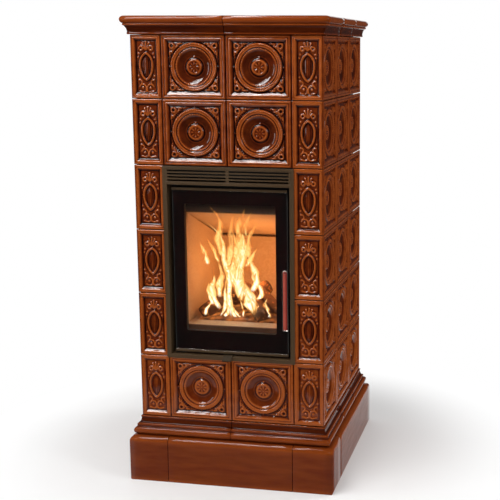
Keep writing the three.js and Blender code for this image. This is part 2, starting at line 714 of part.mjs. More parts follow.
// The plinth has two front corner blocks, the piece between them and two long side pieces.
const legX = HALF_W + PLINTH_OUT - PLINTH_CORNER;
const legY = HALF_D + PLINTH_OUT - PLINTH_CORNER;
for (const [side, sx] of SIDES) {
  const corner = cornerRun(PLINTH_OUTLINE, sx, -1, sx * (legX + GAP), -legY - GAP, 0);
  const rear = cornerRun(PLINTH_OUTLINE, sx, 1, sx * GAP, -legY + GAP, 0);
  add(wallPieces, `plinth_corner_${side}`, corner, "glaze");
  add(wallPieces, `plinth_side_${side}`, rear, "glaze");
}
const plinthFront = [[GAP - legX, FRONT_Y, 0, -1], [legX - GAP, FRONT_Y, 0, -1]];
add(wallPieces, "plinth_front", wallRun(PLINTH_OUTLINE, plinthFront, 0), "glaze");

// The slab on the plinth's ledge carries the stand; the one in the cornice closes the top.
const [slabX, slabY] = [INNER_X - SEAT, INNER_Y - SEAT];
const slab = (z, height) => box(-slabX, slabX, -slabY, slabY, z, z + height);
add(wallPieces, "floor_slab", slab(PLINTH_H + SEAT, FLOOR_SLAB_H), "concrete");
add(wallPieces, "top_slab", slab(CORNICE_Z + TOP_LEDGE_H + SEAT, TOP_SLAB_H), "concrete");

// ---------------------------------------------------------------- surround, grille and lintel

const opening = rectangle(-CLEAR_X, CLEAR_X, CLEAR_FOOT, CLEAR_HEAD);
const flangeShape = rectangle(-SURROUND_X, SURROUND_X, SURROUND_FOOT, SURROUND_HEAD);
flangeShape.holes.push(opening);
flangeShape.holes.push(rectangle(-GRILLE_X, GRILLE_X, GRILLE_HEAD - GRILLE_H, GRILLE_HEAD));
const sleeveShape = rectangle(-CLEAR_X - SLEEVE, CLEAR_X + SLEEVE, CLEAR_FOOT - SLEEVE, CLEAR_HEAD + SLEEVE);
sleeveShape.holes.push(opening);
const surround = upright(flangeShape, FLANGE_Y - SHEET, FLANGE_Y)
  .add(upright(sleeveShape, FLANGE_Y - SEAT, FRONT_Y + SLEEVE_DEPTH));
add(insert, "door_surround", surround, "bronze");

// The air grille: rows of slots in two groups, in a plate that fills the surround's upper opening.
const grilleX = GRILLE_X - SEAT;
const [grilleFoot, grilleTop] = [GRILLE_HEAD - GRILLE_H + SEAT, GRILLE_HEAD - SEAT];
const grillePlate = box(-grilleX, grilleX, FLANGE_Y - SHEET, FLANGE_Y, grilleFoot, grilleTop);
const firstSlot = (grilleFoot + grilleTop - (SLOT_ROWS - 1) * SLOT_PITCH) / 2;
const [slotFront, slotBack] = [FLANGE_Y - 2 * SHEET, FLANGE_Y + SHEET];
const grilleSlots = [];
for (let row = 0; row < SLOT_ROWS; row++) {
  const z = firstSlot + row * SLOT_PITCH;
  for (let column = 0; column < SLOT_GROUPS; column++) {
    const x = (column - (SLOT_GROUPS - 1) / 2) * (SLOT_L + SLOT_WEB) - SLOT_L / 2;
    grilleSlots.push(box(x, x + SLOT_L, slotFront, slotBack, z - SLOT_H / 2, z + SLOT_H / 2));
  }
}
add(insert, "air_grille", cut(grillePlate, grilleSlots), "bronze");

// A steel angle between the side walls carries the tiles above the insert.
const lintelTop = rowZ(INSERT_FIRST_ROW + INSERT_ROWS) - SEAT / 2;
const lintelX = OPENING_W / 2 - JOINT / 2 - SEAT / 2;
const lintel = box(-lintelX, lintelX, FRONT_Y + FACE_DEPTH, -INNER_Y, lintelTop - LINTEL_T, lintelTop)
  .add(box(-lintelX, lintelX, -INNER_Y - LINTEL_T, -INNER_Y, lintelTop - LINTEL_H, lintelTop));
add(insert, "lintel", lintel, "steel");

// ---------------------------------------------------------------- door

function windowShape() {
  const [x, foot, head] = [DOOR_X - WINDOW_SIDE, DOOR_FOOT + WINDOW_FOOT, DOOR_HEAD - WINDOW_HEAD];
  const r = WINDOW_R;
  const shape = new THREE.Shape();
  shape.moveTo(-x + r, foot).lineTo(x - r, foot).quadraticCurveTo(x, foot, x, foot + r);
  shape.lineTo(x, head - r).quadraticCurveTo(x, head, x - r, head);
  shape.lineTo(-x + r, head).quadraticCurveTo(-x, head, -x, head - r);
  shape.lineTo(-x, foot + r).quadraticCurveTo(-x, foot, -x + r, foot);
  return shape;
}

const frameShape = rectangle(-DOOR_X, DOOR_X, DOOR_FOOT, DOOR_HEAD);
frameShape.holes.push(windowShape());
const pinHole = HINGE_R + HINGE_CLEAR;
const spindleAt = { x: HANDLE_X, z: HANDLE_Z };
const doorFrame = cut(upright(frameShape, FRAME_Y, FRAME_BACK, 3), [
  rod(pinHole, "z", DOOR_FOOT - SHEET, DOOR_FOOT + HINGE_DEEP + SEAT, HINGE),
  rod(pinHole, "z", DOOR_HEAD - HINGE_DEEP - SEAT, DOOR_HEAD + SHEET, HINGE),
  rod(SPINDLE_R + SPINDLE_CLEAR, "y", FRAME_Y - SHEET, FRAME_BACK + SHEET, spindleAt),
]);
add(door, "door_frame", doorFrame, "iron");

// The glass lies on the frame between the two trim strips, with an edge notch for the spindle.
const glassFoot = DOOR_FOOT + STRIP_H + SEAT;
const glassHead = DOOR_HEAD - STRIP_H - SEAT;
const glassX = DOOR_X - GLASS_EDGE;
const notch = SPINDLE_R + NOTCH_CLEAR;
const [notchFront, notchBack] = [GLASS_Y - GLASS_T, GLASS_Y + 2 * GLASS_T];
const pane = cut(upright(rectangle(-glassX, glassX, glassFoot, glassHead), GLASS_Y, GLASS_Y + GLASS_T), [
  rod(notch, "y", notchFront, notchBack, spindleAt),
  box(HANDLE_X, DOOR_X, notchFront, notchBack, HANDLE_Z - notch, HANDLE_Z + notch),
]);
add(door, "door_glass", pane, "glass");
for (const [end, foot] of [["bottom", DOOR_FOOT], ["top", DOOR_HEAD - STRIP_H]]) {
  const strip = box(-DOOR_X, DOOR_X, GLASS_Y - STRIP_OUT, GLASS_Y + GLASS_T, foot, foot + STRIP_H);
  add(door, `door_trim_${end}`, strip, "bronze");
}

// Rope gasket on the back of the frame.
const ropeX = DOOR_X - GASKET_INSET;
const [ropeFoot, ropeHead] = [DOOR_FOOT + GASKET_INSET - SLEEVE, DOOR_HEAD - GASKET_INSET];
const ropeDepth = RIM_SETBACK - 2 * SEAT;
const ropeY = FRAME_BACK + RIM_SETBACK / 2;
const halfSide = 180 / ROPE_SIDES; // the rope's sides lie flat towards the frame and the rim
const toFlats = Math.cos(THREE.MathUtils.degToRad(halfSide));
const ropeOutline = arc(0, 0, 1 / 2, halfSide, 360 - halfSide, ROPE_SIDES - 1)
  .map(([p, q]) => [p * GASKET_D, (q * ropeDepth) / toFlats]);
const ropeStation = (x, z, dx, dz) => ({ at: [x, ropeY, z], across: [dx, 0, dz], up: [0, 1, 0] });
const rope = sweep(ropeOutline, [
  ropeStation(-ropeX, ropeFoot, -1, -1),
  ropeStation(ropeX, ropeFoot, 1, -1),
  ropeStation(ropeX, ropeHead, 1, 1),
  ropeStation(-ropeX, ropeHead, -1, 1),
], true);
add(door, "door_gasket", solid(rope), "rope");

// Hinge brackets sit on the sleeve, and their pins stand in the frame's ends.
for (const [end, face, way] of [["bottom", CLEAR_FOOT + SEAT, 1], ["top", CLEAR_HEAD - SEAT, -1]]) {
  const levels = [face, face + way * BRACKET_T].sort((a, b) => a - b);
  const pinEnd = way > 0 ? DOOR_FOOT + HINGE_DEEP : DOOR_HEAD - HINGE_DEEP;
  const pin = [face, pinEnd].sort((a, b) => a - b);
  const x0 = HINGE.x - BRACKET_W / 2;
  const bracket = box(x0, x0 + BRACKET_W, FRAME_Y, RIM_Y - SEAT, ...levels)
    .add(rod(HINGE_R, "z", ...pin, HINGE));
  add(insert, `hinge_${end}`, bracket, "steel");
}

// ---------------------------------------------------------------- handle and latch

const gripShape = new THREE.Shape();
const gripHalf = HANDLE_W / 2;
const gripFoot = -(HANDLE_L - gripHalf);
gripShape.moveTo(-gripHalf, gripFoot).lineTo(gripHalf, gripFoot).lineTo(gripHalf, 0);
gripShape.absarc(0, 0, gripHalf, 0, Math.PI, false);
gripShape.closePath();
const gripGeometry = new THREE.ExtrudeGeometry(gripShape, {
  depth: HANDLE_T - 2 * HANDLE_EDGE, bevelThickness: HANDLE_EDGE, bevelSize: HANDLE_EDGE,
  bevelOffset: -HANDLE_EDGE, bevelSegments: 1, curveSegments: 5,
});
gripGeometry.rotateX(Math.PI / 2).translate(0, HANDLE_BACK - HANDLE_EDGE, 0);
const socket = rod(SPINDLE_R + SEAT, "y", HANDLE_BACK - HANDLE_T / 2, HANDLE_BACK + SHEET, {});
handle.position.set(HANDLE_X, 0, HANDLE_Z);
add(handle, "handle_grip", solid(gripGeometry).subtract(socket), "inlay");

// The spindle runs from the grip through the frame to the tongue behind it.
const tongueY = FRAME_BACK + SEAT + (RIM_SETBACK - TONGUE_T) / 4;
const spindle = rod(SPINDLE_R, "y", HANDLE_BACK - HANDLE_T / 2 + SEAT, tongueY + TONGUE_T, {})
  .add(box(-TONGUE_W / 2, TONGUE_L, tongueY, tongueY + TONGUE_T, -TONGUE_W / 2, TONGUE_W / 2));
add(handle, "latch_spindle", spindle, "steel");

// ---------------------------------------------------------------- firebox shell and lining

const rimShape = rectangle(-RIM_X, RIM_X, RIM_FOOT, RIM_HEAD);
rimShape.holes.push(rectangle(-MOUTH_X, MOUTH_X, RIM_FOOT + MOUTH_FOOT, RIM_HEAD - MOUTH_INSET));
const bodyFront = RIM_Y + RIM_T / 2;
const shellHead = RIM_HEAD - SHELL_SET_IN;
const keeperX = HANDLE_X + TONGUE_L + KEEPER_CLEAR;
const keeperZ = HANDLE_Z - KEEPER_H / 2;
const keeperY = FRAME_BACK - FRAME_T / 4;
const keeper = box(keeperX, keeperX + KEEPER_W, keeperY, bodyFront, keeperZ, keeperZ + KEEPER_H);
const wallX = SHELL_X - WALL;
const shell = box(-SHELL_X, SHELL_X, bodyFront, SHELL_BACK, RIM_FOOT, shellHead)
  .subtract(box(-wallX, wallX, bodyFront - WALL, SHELL_BACK - WALL, RIM_FOOT + WALL, shellHead - WALL))
  .add(upright(rimShape, RIM_Y, RIM_Y + RIM_T))
  .add(keeper)
  .subtract(rod(FLUE_R - FLUE_WALL, "z", shellHead - 2 * WALL, shellHead + WALL, { y: FLUE_Y }));
const slideY = RIM_Y + AIR_SETBACK;
const airSlots = (foot, head) =>
  Array.from({ length: AIR_SLOTS }, (_, i) => {
    const x = LEVER_OFFSET + (i - (AIR_SLOTS - 1) / 2) * AIR_SLOT_PITCH;
    const y = slideY + SLIDE_L / 2;
    return box(x - AIR_SLOT_L / 2, x + AIR_SLOT_L / 2, y - AIR_SLOT_W / 2, y + AIR_SLOT_W / 2, foot, head);
  });
add(insert, "firebox_shell", cut(shell, airSlots(RIM_FOOT - WALL, RIM_FOOT + 2 * WALL)), "iron");

// Hearth: a block with the ash chamber below and a rebated opening for the grate.
const grateY = LINING_FRONT + GRATE_SETBACK;
const grateFoot = HEARTH_TOP - GRATE_T;
const grateBack = grateY + GRATE_L;
const hearthFront = LINING_FRONT + GUARD_T + SEAT;
const [ashX, rebateX] = [ASH_W / 2, GRATE_W / 2];
const throatX = rebateX - GRATE_LEDGE;
const hearth = cut(box(-LINING_X, LINING_X, hearthFront, LINING_BACK, HEARTH_FOOT, HEARTH_TOP), [
  box(-ashX, ashX, LINING_FRONT - WALL, LINING_FRONT + ASH_L, ASH_FLOOR, ASH_FLOOR + ASH_H),
  box(-rebateX, rebateX, grateY, grateBack, grateFoot - SEAT, HEARTH_TOP + WALL),
  box(-throatX, throatX, grateY + GRATE_LEDGE, grateBack - GRATE_LEDGE, ASH_FLOOR + WALL, HEARTH_TOP),
  ...airSlots(HEARTH_FOOT - WALL, ASH_FLOOR + WALL),
]);
add(insert, "hearth_block", hearth, "chamotte");

// Grate: bars across, in a frame that drops into the rebate.
const grateX = rebateX - SEAT;
const barX = grateX - GRATE_FRAME;
const gratePlate = box(-grateX, grateX, grateY + SEAT, grateBack - SEAT, grateFoot, HEARTH_TOP - SEAT);
const barPitch = (GRATE_L - 2 * GRATE_FRAME) / GRATE_BARS;
const grateSlots = Array.from({ length: GRATE_BARS }, (_, i) => {
  const y = grateY + GRATE_FRAME + (i + 0.5) * barPitch - GRATE_SLOT / 2;
  return box(-barX, barX, y, y + GRATE_SLOT, grateFoot - GRATE_T, HEARTH_TOP + GRATE_T);
});
add(insert, "grate", cut(gratePlate, grateSlots), "iron");

// Ash pan: an open tray that draws out through the mouth.
const panX = ashX - ASH_CLEAR;
const panFoot = ASH_FLOOR + SEAT;
const [panFront, panBack] = [hearthFront + SEAT, LINING_FRONT + ASH_L - ASH_CLEAR];
const [trayX, trayFront, trayBack] = [panX - PAN_WALL, panFront + PAN_WALL, panBack - PAN_WALL];
const pan = box(-panX, panX, panFront, panBack, panFoot, panFoot + PAN_H)
  .subtract(box(-trayX, trayX, trayFront, trayBack, panFoot + PAN_WALL, HEARTH_TOP));
add(insert, "ash_pan", pan, "steel");

// Side bricks end on the slope that carries the baffle; the back brick stands behind them.
const slopeFront = LINING_FRONT + BAFFLE_SETBACK;
const slope = (BAFFLE_BACK_H - BAFFLE_FRONT_H) / (CHAMBER_BACK - slopeFront);
const slopeZ = (y) => HEARTH_TOP + BAFFLE_FRONT_H + slope * (y - slopeFront);
const alongY = (outline, x0, x1) => solid(sweep(outline, [
  { at: [x0, 0, 0], across: [0, 1, 0], up: [0, 0, 1] },
  { at: [x1, 0, 0], across: [0, 1, 0], up: [0, 0, 1] },
]));
const sideBrick = [
  [LINING_FRONT, HEARTH_TOP + SEAT],
  [CHAMBER_BACK - SEAT, HEARTH_TOP + SEAT],
  [CHAMBER_BACK - SEAT, slopeZ(CHAMBER_BACK)],
  [LINING_FRONT, slopeZ(LINING_FRONT)],
];
add(insert, "side_brick_left", alongY(sideBrick, -LINING_X, -CHAMBER_X), "chamotte");
add(insert, "side_brick_right", alongY(sideBrick, CHAMBER_X, LINING_X), "chamotte");
const brickHead = slopeZ(CHAMBER_BACK);
const backBrick = box(-LINING_X, LINING_X, CHAMBER_BACK, LINING_BACK, HEARTH_TOP + SEAT, brickHead);
add(insert, "back_brick", backBrick, "chamotte");
const baffleOutline = [
  [slopeFront, slopeZ(slopeFront) + 2 * SEAT],
  [LINING_BACK, slopeZ(CHAMBER_BACK) + 2 * SEAT],
  [LINING_BACK, slopeZ(CHAMBER_BACK) + 2 * SEAT + BAFFLE_T],
  [slopeFront, slopeZ(slopeFront) + 2 * SEAT + BAFFLE_T],
];
add(insert, "baffle", alongY(baffleOutline, -LINING_X, LINING_X), "chamotte");

// A low bar before the hearth keeps embers off the door.
const guardX = GUARD_W / 2;
const [guardFoot, guardHead] = [HEARTH_TOP - GUARD_H, HEARTH_TOP + SEAT];
const guard = box(-guardX, guardX, LINING_FRONT, LINING_FRONT + GUARD_T, guardFoot, guardHead);
add(insert, "ember_guard", guard, "iron");

// ---------------------------------------------------------------- air control

// The lever lies on the sleeve, passes under the door and ends in a bent lip; the slide rides on it.
const lipY = FLANGE_Y - SHEET - LEVER_OUT;
const leverOutline = [
  [slideY + SLIDE_L, LEVER_Z],
  [slideY + SLIDE_L, LEVER_Z + LEVER_T],
  [lipY, LEVER_Z + LEVER_T],
  [lipY - LIP_OUT, LEVER_Z + LEVER_T - LIP_DROP],
  [lipY - LIP_OUT + LEVER_T / 2, LEVER_Z - LIP_DROP],
  [lipY + LEVER_T / 2, LEVER_Z],
];
const lever = alongY(leverOutline, LEVER_OFFSET - LEVER_W / 2, LEVER_OFFSET + LEVER_W / 2);
add(airControl, "air_lever", lever, "bronze");
const slideX = LEVER_OFFSET - SLIDE_W / 2;
const slide = box(slideX, slideX + SLIDE_W, slideY, slideY + SLIDE_L, SLIDE_Z, RIM_FOOT - SEAT);
add(airControl, "air_slide", cut(slide, airSlots(SLIDE_Z - LEVER_T, RIM_FOOT)), "steel");

// ---------------------------------------------------------------- stand, rear panel and flue

const standX = SHELL_X - STAND_SET_IN;
const standY0 = RIM_Y + STAND_SETBACK;
const standHead = RIM_FOOT - SEAT;
const standFoot = PLINTH_H + FLOOR_SLAB_H + 2 * SEAT;
let stand = box(-standX, standX, standY0, SHELL_BACK, standHead - STAND_RAIL, standHead)
  .subtract(box(-standX + STAND_LEG, standX - STAND_LEG, standY0 + STAND_LEG, SHELL_BACK - STAND_LEG,
    standHead - 2 * STAND_RAIL, standHead + STAND_RAIL));
for (const x of [-standX, standX - STAND_LEG]) {
  for (const y of [standY0, SHELL_BACK - STAND_LEG]) {
    stand = stand.add(box(x, x + STAND_LEG, y, y + STAND_LEG, standFoot, standHead - STAND_RAIL / 2));
  }
}
add(insert, "firebox_stand", stand, "steel");

const flueAxis = { z: FLUE_Z };
const panelShape = rectangle(-INNER_X + SEAT, INNER_X - SEAT, WALL_Z + SEAT, CORNICE_Z - SEAT);
const panel = upright(panelShape, PANEL_Y, PANEL_Y + PANEL_T)
  .subtract(rod(FLUE_R + FLUE_CLEAR, "y", PANEL_Y - PANEL_T, PANEL_Y + 2 * PANEL_T, flueAxis, FLUE_SIDES));
add(wallPieces, "rear_panel", panel, "bronze");

// The flue rises from the shell, bends and leaves through the rear panel.
const flueFoot = shellHead + SEAT;
const flueEnd = HALF_D + PLINTH_OUT;
const path = new THREE.CurvePath();
const bendFoot = new THREE.Vector3(0, FLUE_Y, FLUE_Z - FLUE_BEND);
const bendHead = new THREE.Vector3(0, FLUE_Y + FLUE_BEND, FLUE_Z);
path.add(new THREE.LineCurve3(new THREE.Vector3(0, FLUE_Y, flueFoot), bendFoot));
path.add(new THREE.QuadraticBezierCurve3(bendFoot, new THREE.Vector3(0, FLUE_Y, FLUE_Z), bendHead));
path.add(new THREE.LineCurve3(bendHead, new THREE.Vector3(0, flueEnd, FLUE_Z)));
const pipeShape = new THREE.Shape().absarc(0, 0, FLUE_R, 0, 2 * Math.PI, false);
pipeShape.holes.push(new THREE.Path().absarc(0, 0, FLUE_R - FLUE_WALL, 0, 2 * Math.PI, true));
const pipe = new THREE.ExtrudeGeometry(pipeShape, {
  steps: 9, curveSegments: 6, bevelEnabled: false, extrudePath: path,
});
add(insert, "flue_pipe", solid(pipe), "iron");
const rosetteY = PANEL_Y + PANEL_T + SEAT;
const rosette = rod(FLUE_R + ROSETTE_W, "y", rosetteY, rosetteY + PANEL_T, flueAxis, FLUE_SIDES)
  .subtract(rod(FLUE_R + FLUE_CLEAR, "y", rosetteY - PANEL_T, rosetteY + 2 * PANEL_T, flueAxis, FLUE_SIDES));
add(insert, "flue_rosette", rosette, "iron");

export default stove;
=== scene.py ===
# Tiled stove: a wood-burning insert behind a wall of glazed relief tiles, on its pale studio floor.
# Sizes are in millimetres and turned into metres where a mesh is made; +Z is up and the front faces -Y.

import math

import bmesh
import bpy
import numpy as np
from mathutils import Matrix, Vector


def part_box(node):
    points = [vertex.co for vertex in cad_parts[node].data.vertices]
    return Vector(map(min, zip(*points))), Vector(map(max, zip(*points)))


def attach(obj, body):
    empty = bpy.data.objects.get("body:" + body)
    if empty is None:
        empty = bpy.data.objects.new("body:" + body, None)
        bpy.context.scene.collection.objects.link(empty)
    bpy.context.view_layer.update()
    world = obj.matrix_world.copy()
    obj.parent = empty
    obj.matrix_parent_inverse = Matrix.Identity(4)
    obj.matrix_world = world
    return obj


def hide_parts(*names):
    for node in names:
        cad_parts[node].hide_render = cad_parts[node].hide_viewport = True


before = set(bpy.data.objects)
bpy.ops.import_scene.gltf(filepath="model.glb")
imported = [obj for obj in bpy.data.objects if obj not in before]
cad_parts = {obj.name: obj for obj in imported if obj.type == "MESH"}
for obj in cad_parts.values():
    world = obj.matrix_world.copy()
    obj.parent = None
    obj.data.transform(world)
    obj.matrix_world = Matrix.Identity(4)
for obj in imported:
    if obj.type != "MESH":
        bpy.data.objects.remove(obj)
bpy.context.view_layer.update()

# ---------------------------------------------------------------- camera
# A long lens stands right of the stove, a little lower than its cornice, and looks ten degrees left and
# down. Its shift sets the stove in its place in the frame.
CAMERA_AT = Vector((1.0439, -3.5766, 1.5101))
CAMERA_YAW, CAMERA_PITCH, CAMERA_ROLL = 0.1735, -0.1722, 0.0050
CAMERA_LENS = 73.4
CAMERA_SHIFT = (-0.235, -0.05)


def in_scene(name, data):
    """An object with this data, placed in the scene."""
    made = bpy.data.objects.new(name, data)
    bpy.context.scene.collection.objects.link(made)
    return made


forward = Vector((-math.sin(CAMERA_YAW) * math.cos(CAMERA_PITCH),
                  math.cos(CAMERA_YAW) * math.cos(CAMERA_PITCH),
                  math.sin(CAMERA_PITCH)))
level = Vector((math.cos(CAMERA_YAW), math.sin(CAMERA_YAW), 0))
upward = level.cross(forward)
across = level * math.cos(CAMERA_ROLL) + upward * math.sin(CAMERA_ROLL)
upward = across.cross(forward)
lens = bpy.data.cameras.new("camera")
lens.lens = CAMERA_LENS
lens.shift_x, lens.shift_y = CAMERA_SHIFT
camera = in_scene("camera", lens)
camera.matrix_world = Matrix.Translation(CAMERA_AT) @ Matrix((across, upward, -forward)).transposed().to_4x4()
bpy.context.scene.camera = camera

# ---------------------------------------------------------------- brown glaze
# The glaze is a thick, glossy amber-brown glass over fired clay. It runs thin and light over every
# crest and gathers dark in every hollow, so each mesh carries a depth mark, which also holds painted shade
# beside upright joints and in set-back mouldings, and a tone that makes it lighter or darker.
GLAZE_LIGHT = (0.29, 0.066, 0.012, 1)
GLAZE_MIDDLE = (0.130, 0.0225, 0.0034, 1)
GLAZE_DEEP = (0.010, 0.0018, 0.0010, 1)
GLAZE_RED = (0.100, 0.0125, 0.0028, 1)


def link(value, socket):
    socket.id_data.links.new(value, socket)


def put(near, kind, inputs=None, **settings):
    """Adds a node to a tree, or beside a node or socket of it; an input is a value or the socket that feeds it."""
    node = near.id_data.nodes.new(kind)
    for key, value in settings.items():
        setattr(node, key, value)
    for key, value in (inputs or {}).items():
        if isinstance(value, bpy.types.NodeSocket):
            link(value, node.inputs[key])
        else:
            node.inputs[key].default_value = value
    return node


def effect(name, inputs, outputs):
    """An empty shader group with these named sockets, and its two end nodes."""
    tree = bpy.data.node_groups.new(name, "ShaderNodeTree")
    for label, value in inputs.items():
        kind = "Float" if isinstance(value, float) else "Color" if len(value) == 4 else "Vector"
        tree.interface.new_socket(label, in_out="INPUT", socket_type=f"NodeSocket{kind}").default_value = value
    for label, kind in outputs.items():
        tree.interface.new_socket(label, in_out="OUTPUT", socket_type=f"NodeSocket{kind}")
    return tree, tree.nodes.new("NodeGroupInput").outputs, tree.nodes.new("NodeGroupOutput").inputs


def use(group, inputs):
    """Places a shader group beside the vector that it works on, and gives its outputs."""
    return put(inputs["Vector"], "ShaderNodeGroup", inputs, node_tree=group).outputs


def maths(operation, *values, clamp=False):
    near = next(value for value in values if isinstance(value, bpy.types.NodeSocket))
    return put(near, "ShaderNodeMath", dict(enumerate(values)), operation=operation, use_clamp=clamp).outputs[0]


def blend(part, first, second):
    """Runs from the first colour to the second as the part goes from 0 to 1."""
    return put(part, "ShaderNodeMix", {0: part, 6: first, 7: second}, data_type="RGBA").outputs[2]


def noise(vector, scale, detail, **more):
    inputs = {"Vector": vector, "Scale": scale, "Detail": detail, **more}
    return put(vector, "ShaderNodeTexNoise", inputs).outputs["Fac"]


# Uneven patches: a soft noise, cut to a contrast about its middle.
patches, given, result = effect("uneven_patches", {"Vector": (0, 0, 0), "Scale": 10.0, "Detail": 3.0, "Contrast": 1.0},
                                {"Mask": "Float"})
cloud = noise(given["Vector"], given["Scale"], given["Detail"])
spread = maths("MULTIPLY", maths("SUBTRACT", cloud, 0.5), given["Contrast"])
link(maths("ADD", spread, 0.5, clamp=True), result["Mask"])


def patchy(vector, scale, detail, contrast):
    return use(patches, {"Vector": vector, "Scale": scale, "Detail": detail, "Contrast": contrast})["Mask"]


# Glaze colour from its depth mark: light where thin, dark where it pools and where the mark holds painted shade, with
# mottling and redder places.
glazing, given, result = effect(
    "pooled_glaze",
    {"Vector": (0, 0, 0), "Pool_and_shade": 0.4, "Tone": 0.5, "Mottle": 0.40, "Light": GLAZE_LIGHT, "Middle": GLAZE_MIDDLE,
     "Red": GLAZE_RED, "Deep": GLAZE_DEEP},
    {"Colour": "Color", "Skin": "Float"})
where = given["Vector"]
mottle = maths("SUBTRACT", patchy(where, 34.0, 5.0, 1.5), 0.48)
uneven = maths("MULTIPLY", mottle, given["Mottle"])
toned = maths("MULTIPLY_ADD", given["Tone"], -0.34, 0.17)
depth = maths("ADD", given["Pool_and_shade"], maths("ADD", uneven, toned), clamp=True)
body = blend(patchy(where, 15.0, 3.0, 2.4), given["Middle"], given["Red"])
thin = blend(maths("MULTIPLY", depth, 2.2, clamp=True), given["Light"], body)
to_deep = maths("MULTIPLY_ADD", depth, 2.0, -0.9, clamp=True)
link(blend(to_deep, thin, given["Deep"]), result["Colour"])
link(maths("MULTIPLY_ADD", noise(where, 22.0, 1.0), 7.0, noise(where, 120.0, 2.0)), result["Skin"])


def finish(name, **constants):
    """A material with its Principled shader, the piece's own coordinates and plain constants."""
    material = bpy.data.materials.new(name)
    material.use_nodes = True
    shader = material.node_tree.nodes["Principled BSDF"]
    for key, value in constants.items():
        shader.inputs[key.replace("_", " ")].default_value = value
    return material, shader, put(shader, "ShaderNodeTexCoord").outputs["Object"]


def bump(shader, height, distance, strength=1.0):
    node = put(shader, "ShaderNodeBump", {"Height": height, "Distance": distance, "Strength": strength})
    link(node.outputs["Normal"], shader.inputs["Normal"])


def glazed_clay(name, gloss, grain=(1, 1, 1), **values):
    """A glossy glaze whose colour follows the mesh's depth mark, painted shade included, and its tone mark; grain draws
    its mottling out.
    """
    material, shader, here = finish(name, Roughness=0.035, Specular_IOR_Level=gloss)
    pool, tone = (put(here, "ShaderNodeAttribute", attribute_name=mark).outputs["Fac"] for mark in ("pool", "tone"))
    here = put(here, "ShaderNodeMapping", {"Vector": here, "Scale": grain}).outputs[0]
    glazed = use(glazing, {"Vector": here, "Pool_and_shade": pool, "Tone": tone, **values})
    link(glazed["Colour"], shader.inputs["Base Color"])
    bump(shader, glazed["Skin"], 0.00018)
    return material


glaze = glazed_clay("brown_tile_glaze", 0.22)

# ---------------------------------------------------------------- front tiles
# Square stove tiles of red clay, pressed in a plaster mould: a stepped frame, a beaded ring round a
# deep dish with a rosette boss, and a scrolled leaf in each corner. They hang on clay behind 2 mm joints.
MM = 0.001
TILE = 220
TOP_TILE = 209
JOINT = 2
PITCH = TILE + JOINT
BODY = 28  # tile face to the front of the clay bed
HALF_D = 332  # middle to the tiles' faces, at the front and back
HALF_W = 328  # and at the sides
TILE_BACK = 50  # tile face to the back of its clay
WALL_FOOT = 229
ROWS = 6
FIELD = 24.5  # frame's outer edge to the field
FIELD_SUNK = 8
ARRIS_R = 4.0  # round of a tile's outer edge


def rise(x, low, high):
    """0 below low, 1 above high and a soft step between."""
    part = np.clip((x - low) / (high - low), 0, 1)
    return part * part * (3 - 2 * part)


def ridge(distance, half_width):
    """A half-round section of height 1."""
    return np.sqrt(np.clip(1 - (distance / half_width) ** 2, 0, None))


def soften(field, reach):
    """Spreads a grid's values over this many cells."""
    weights = np.exp(-0.5 * (np.arange(-2 * reach, 2 * reach + 1) / reach) ** 2)
    weights /= weights.sum()
    for axis in (0, 1):
        width = [(2 * reach, 2 * reach) if a == axis else (0, 0) for a in (0, 1)]
        padded = np.pad(field, width, mode="edge")
        size = field.shape[axis]
        field = sum(w * np.take(padded, range(k, k + size), axis) for k, w in enumerate(weights))
    return field


def near_line(x, y, points):
    """Distance from each place to a chain of straight pieces."""
    best = np.full(x.shape, 1e9)
    for (ax, ay), (bx, by) in zip(points[:-1], points[1:]):
        dx, dy = bx - ax, by - ay
        part = np.clip(((x - ax) * dx + (y - ay) * dy) / (dx * dx + dy * dy), 0, 1)
        best = np.minimum(best, np.hypot(x - ax - part * dx, y - ay - part * dy))
    return best


def mould_lines(length, cells):
    """Grid lines over a tile's side, with extra ones for the rounded arris at both ends."""
    arris = np.array([0, 0.2, 0.5, 0.9, 1.4, 2.0, 2.8, 3.6])
    return np.concatenate([arris, np.linspace(4.6, length - 4.6, cells), length - arris[::-1]])


def rolls(distance, *rings):
    """Half-round rolls and grooves: each has its place, half width and height."""
    return sum(height * ridge(distance - place, half_width) for place, half_width, height in rings)


FRAME_ROLLS = ((9.6, 1.5, -2.2), (12.2, 1.6, 0.9), (FIELD, 1.5, -1.3))  # from the tile's edge
SLOPE = (13.2, FIELD - 1.2)  # where the frame slopes down to the field


def frame_relief(edge, scale):
    """The stepped frame, by the distance from the tile's edge."""
    part = edge / scale
    arris = ARRIS_R * (1 - ridge(np.clip(ARRIS_R - edge, 0, None), ARRIS_R))
    slope = np.clip((part - SLOPE[0]) / (SLOPE[1] - SLOPE[0]), 0, 1)
    return rolls(part, *FRAME_ROLLS) - arris - (FIELD_SUNK - 0.6) * slope


def places(across_lines, up_lines):
    """Each grid place from the tile's middle, the tile's half sizes and the distance from its edge."""
    half_u, half_v = across_lines[-1] / 2, up_lines[-1] / 2
    x, y = np.meshgrid(across_lines - half_u, up_lines - half_v, indexing="ij")
    return x, y, half_u, half_v, np.minimum(half_u - np.abs(x), half_v - np.abs(y))


def nearest(x, y, points):
    """Distance from each place to the nearest of these points."""
    return np.min([np.hypot(x - px, y - py) for px, py in points], axis=0)


